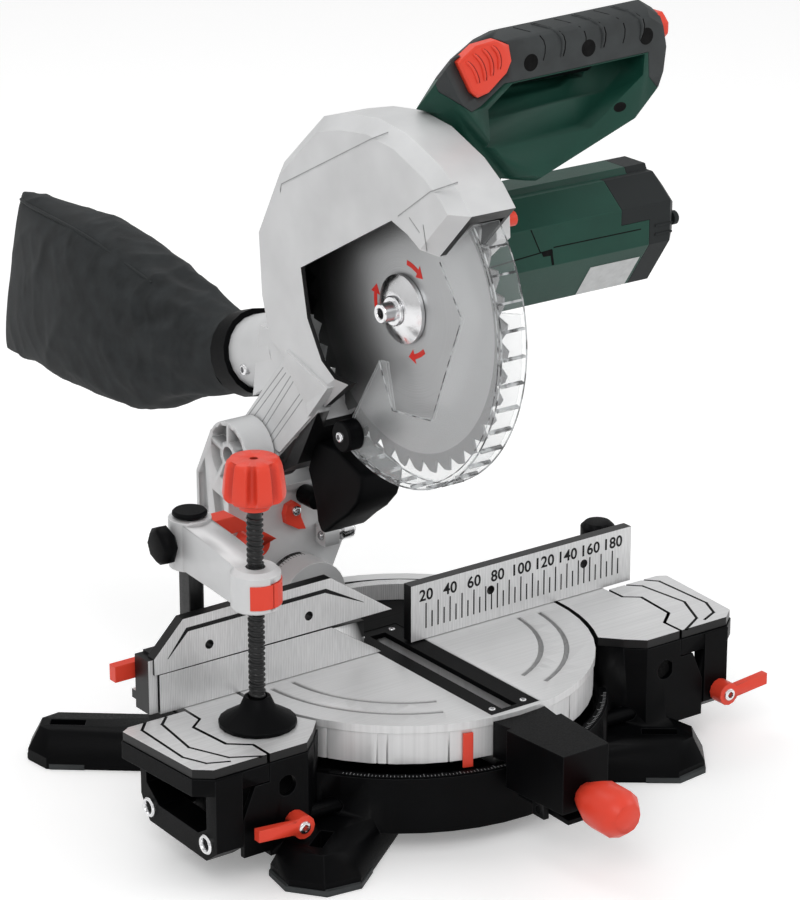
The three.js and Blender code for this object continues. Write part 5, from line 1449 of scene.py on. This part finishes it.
class MITRESAW_OT_handle(SawOperator, bpy.types.Operator):
    """Finishes the handle's shell, grip and switches and adds ridges, ribs and screw wells"""

    bl_idname = "mitresaw.handle"
    bl_label = "Handle"

    def execute(self, context):
        dress("handle_shell", "green_moulding")
        dress("handle_grip", "grip_rubber")
        dress("trigger", "black_moulding")
        dress("lock_off_slide", "red_moulding")
        dress("lock_off_button", "red_moulding")
        self.wells()
        self.ridges()
        self.slide_ribs()
        return {"FINISHED"}

    def wells(self):
        """Dark screw wells of painted shade: three along the grip and two in the shell."""
        shape = bmesh.new()
        for x, z in ((71.6, 395.4), (118.1, 398.2), (165.9, 399.2)):
            disc_on(shape, "handle_grip", (x, -80.0, z), (0, 1, 0), 5.6)
        for x, z in ((145.0, 355.4), (30.0, 346.0)):
            disc_on(shape, "handle_shell", (x, -80.0, z), (0, 1, 0), 5.2, 0.62)
        from_bmesh("screw_wells", shape, "void", "head", 40)

    # how far a ridge has gone along the grip, and down from its top edge
    bend = ((0.0, 0.5), (6.0, 2.4), (10.6, 5.0), (13.6, 8.4), (15.0, 12.4), (14.8, 17.0), (13.4, 21.4))

    def ridges(self):
        """Three curved ridges over the grip, each with fine grooves beside it, drawn as dark tubes of painted
        shade.
        """
        ridge, groove = bmesh.new(), bmesh.new()
        kinds = ((ridge, 0.0, 0.1, (0.5, 1.0, 1.3, 1.4, 1.3, 1.0, 0.4)), (groove, -14.0, -0.2, 0.45),
                 (groove, 2.2, -0.2, 0.5))
        for x in (82.0, 115.0, 147.0):
            for shape, shift, lift, thick in kinds:
                path = [self.on_front("handle_grip", x + u + shift, self.crown(x + u + shift) - down, lift)
                        for u, down in self.bend]
                tube_along(shape, path, thick, 8)
        from_bmesh("grip_ridges", ridge, "grip_rubber", "head", 60)
        from_bmesh("grip_grooves", groove, "void", "head", 60)

    def on_front(self, node, x, z, lift):
        """A point on the front of a node, seen from well before it."""
        return landed(node, (x, -80.0, z), (0, 1, 0), lift)[0]

    def crown(self, x):
        """Height of the grip's top edge."""
        return 416.0 + 3.5 * (x - 58.0) / 114.0

    def slide_ribs(self):
        """Four curved ribs across the slide, each with a painted shadow on its dark side."""
        ribs = (((17.0, 404.6), (23.0, 398.4), (26.6, 389.6)), ((22.6, 408.6), (29.4, 401.0), (32.0, 390.4)),
                ((29.6, 410.8), (36.0, 403.0), (37.0, 392.8)), ((36.8, 411.8), (42.4, 405.0), (42.6, 396.0)))
        last = 8
        for word, finish, shift, thick in (("raised", "red_moulding", 0.0, 1.15),
                                           ("shaded", "deep_red", 1.5, 0.55)):
            shape = bmesh.new()
            for rib in ribs:
                spots = [self.bent(step / last, *rib) for step in range(last + 1)]
                path = [self.on_front("lock_off_slide", x + shift, z, 0.1) for x, z in spots]
                ends = thick * 0.55
                tube_along(shape, path, [ends] + [thick] * (last - 1) + [ends], 8)
            from_bmesh(f"slide_ribs_{word}", shape, finish, "lock_slide", 60)

    def bent(self, t, start, middle, end):
        """A point on the arc from start to end that passes through the middle."""
        return [(1 - t) ** 2 * a + 2 * t * (1 - t) * (2 * m - (a + b) / 2) + t * t * b
                for a, m, b in zip(start, middle, end)]


class MITRESAW_OT_dust_bag(SawOperator, bpy.types.Operator):
    """Sews the dust bag as a creased cloth shell on its collar"""

    bl_idname = "mitresaw.dust_bag"
    bl_label = "Dust bag"

    # y, middle height, half height, half width, squareness
    sections = ((183, 155.5, 27.4, 27.4, 0.0), (190, 153.5, 28.0, 27.6, 0.0), (200, 150.5, 29, 28.4, 0.1),
                (215, 148.5, 32.5, 29.5, 0.2), (238, 147, 38.5, 31.5, 0.35), (262, 143.5, 47, 33.5, 0.5),
                (287, 140.5, 55, 35, 0.6), (327, 141.5, 61, 36, 0.65), (367, 142.5, 65, 35.5, 0.65),
                (403, 142, 66.5, 32, 0.65), (440, 141, 66.5, 26, 0.65), (470, 139, 67, 18, 0.7),
                (488, 138, 67, 11, 0.75), (497, 137, 66, 4, 0.8))
    slant = 0.25

    def execute(self, context):
        piece = self.shell()
        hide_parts("dust_bag")
        self.piping()
        return {"FINISHED"}

    def row(self, t):
        """The section at a share of the bag's length, on a smooth line through the given ones."""
        last = len(self.sections) - 1
        i = min(int(t * last), last - 1)
        u = t * last - i
        near = [self.sections[int(within(i + k, 0, last))] for k in (-1, 0, 1, 2)]
        return [0.5 * (2 * b + (c - a) * u + (2 * a - 5 * b + 4 * c - d) * u * u
                       + (3 * b - a - 3 * c + d) * u ** 3) for a, b, c, d in zip(*near)]

    def rim(self, section, angle):
        """x and z from the section's middle, on an outline between an oval and a box."""
        _, _, tall, wide, square = section
        c, s = math.cos(angle), math.sin(angle)
        power = 1 - 0.5 * within(square)
        return wide * math.copysign(abs(c) ** power, c), tall * math.copysign(abs(s) ** power, s)

    def sheared(self, y, z):
        """The far end leans back as it goes down."""
        return y - z * self.slant * within((y - 260) / 180)

    def piping(self):
        """Rolled seams along the bag's bottom and the top edge of its near side."""
        shape = bmesh.new()
        steps, sunk = 40, 0.985
        for angle, first, last in ((-92, 0.50, 0.985), (118, 0.42, 0.97)):
            path = []
            for step in range(steps + 1):
                section = self.row(first + (last - first) * step / steps)
                x, z = self.rim(section, math.radians(angle))
                path.append((x * sunk, self.sheared(section[0], z), section[1] + z * sunk))
            tube_along(shape, path, 1.3, 8)
        from_bmesh("bag_piping", shape, "cap_moulding", "head", 60)

    def shell(self):
        """The creased cloth, with a UV map in metres for its weave."""
        around, rows = 120, 170
        girth = 0.33  # metres
        depth = sizes().crease * 1000
        sections = [self.row(r / rows) for r in range(rows + 1)]
        shape = bmesh.new()
        layer = shape.loops.layers.uv.new("Weave")
        rings = []
        for section in sections:
            y, middle = section[:2]
            loose = within((y - 205) / 60) * within((497 - y) / 14)
            ring = []
            for k in range(around):
                x, z = self.rim(section, 2 * math.pi * k / around)
                inward = self.crease(x, y, z) * depth * loose
                scale = 1 - inward / max(8.0, math.hypot(x, z))
                spot = put(x * scale, self.sheared(y, z), middle + z * scale)
                ring.append(shape.verts.new(spot))
            rings.append(ring)
        for r in range(rows):
            for k in range(around):
                j = (k + 1) % around
                face = shape.faces.new((rings[r][k], rings[r][j], rings[r + 1][j], rings[r + 1][k]))
                corners = ((r, k), (r, k + 1), (r + 1, k + 1), (r + 1, k))
                for loop, (row, column) in zip(face.loops, corners):
                    loop[layer].uv = (column / around * girth, sections[row][0] / 1000)
        shape.faces.new(rings[-1])
        return finished("dust_bag_cloth", drawn("dust_bag_cloth", shape), "bag_cloth", "head", 75)

    def crease(self, x, y, z):
        """How far the cloth falls in at a point, from nought to one or so."""
        broad = noise.noise(Vector((x * 0.010 + 3.1, y * 0.0105, z * 0.012 + 7.7)))
        fold = noise.noise(Vector((x * 0.014, y * 0.015 + z * 0.012, z * 0.015 - y * 0.006)))
        fine = noise.noise(Vector((x * 0.03, y * 0.040 - z * 0.02, z * 0.03)))
        sharp_fold = max(0.0, 1 - abs(fold) * 2.4) ** 3
        sharp_fine = max(0.0, 1 - abs(fine) * 2.2) ** 3
        near = max(0.0, 1 - (y - 205) / 105)
        angle = math.atan2(z, x)
        pleats = near * (0.7 * math.sin(7 * angle + y * 0.035) + 0.45 * math.sin(13 * angle - y * 0.05 + 1.1))
        return 0.35 + 0.5 * broad + pleats - 0.40 * sharp_fold - 0.16 * sharp_fine


STEPS = (MITRESAW_OT_stage, MITRESAW_OT_base, MITRESAW_OT_table, MITRESAW_OT_fence, MITRESAW_OT_clamp,
         MITRESAW_OT_tilt, MITRESAW_OT_blade, MITRESAW_OT_guards, MITRESAW_OT_motor, MITRESAW_OT_handle,
         MITRESAW_OT_dust_bag)


class MITRESAW_PT_finish(bpy.types.Panel):
    """Lists the saw's colours, sizes and steps"""

    bl_idname = "MITRESAW_PT_finish"
    bl_label = "Mitre Saw"
    bl_space_type = "VIEW_3D"
    bl_region_type = "UI"
    bl_category = "Mitre Saw"

    def draw(self, context):
        for step in STEPS:
            self.layout.operator(step.bl_idname)
        for group in (context.scene.saw_colours, context.scene.saw_sizes, context.scene.saw_stage):
            box = self.layout.box()
            for name in group.__annotations__:
                box.prop(group, name)


GROUPS = (SawColours, SawSizes, SawStage)


def register():
    for each in GROUPS + STEPS + (MITRESAW_PT_finish,):
        bpy.utils.register_class(each)
    bpy.types.Scene.saw_colours = PointerProperty(type=SawColours)
    bpy.types.Scene.saw_sizes = PointerProperty(type=SawSizes)
    bpy.types.Scene.saw_stage = PointerProperty(type=SawStage)


def unregister():
    for name in ("saw_colours", "saw_sizes", "saw_stage"):
        delattr(bpy.types.Scene, name)
    for each in reversed(GROUPS + STEPS + (MITRESAW_PT_finish,)):
        bpy.utils.unregister_class(each)


def main():
    register()
    for step in STEPS:
        group, action = step.bl_idname.split(".")
        if getattr(getattr(bpy.ops, group), action)() != {"FINISHED"}:
            raise RuntimeError(f"{step.bl_label} didn't finish")


if __name__ == "__main__":
    main()
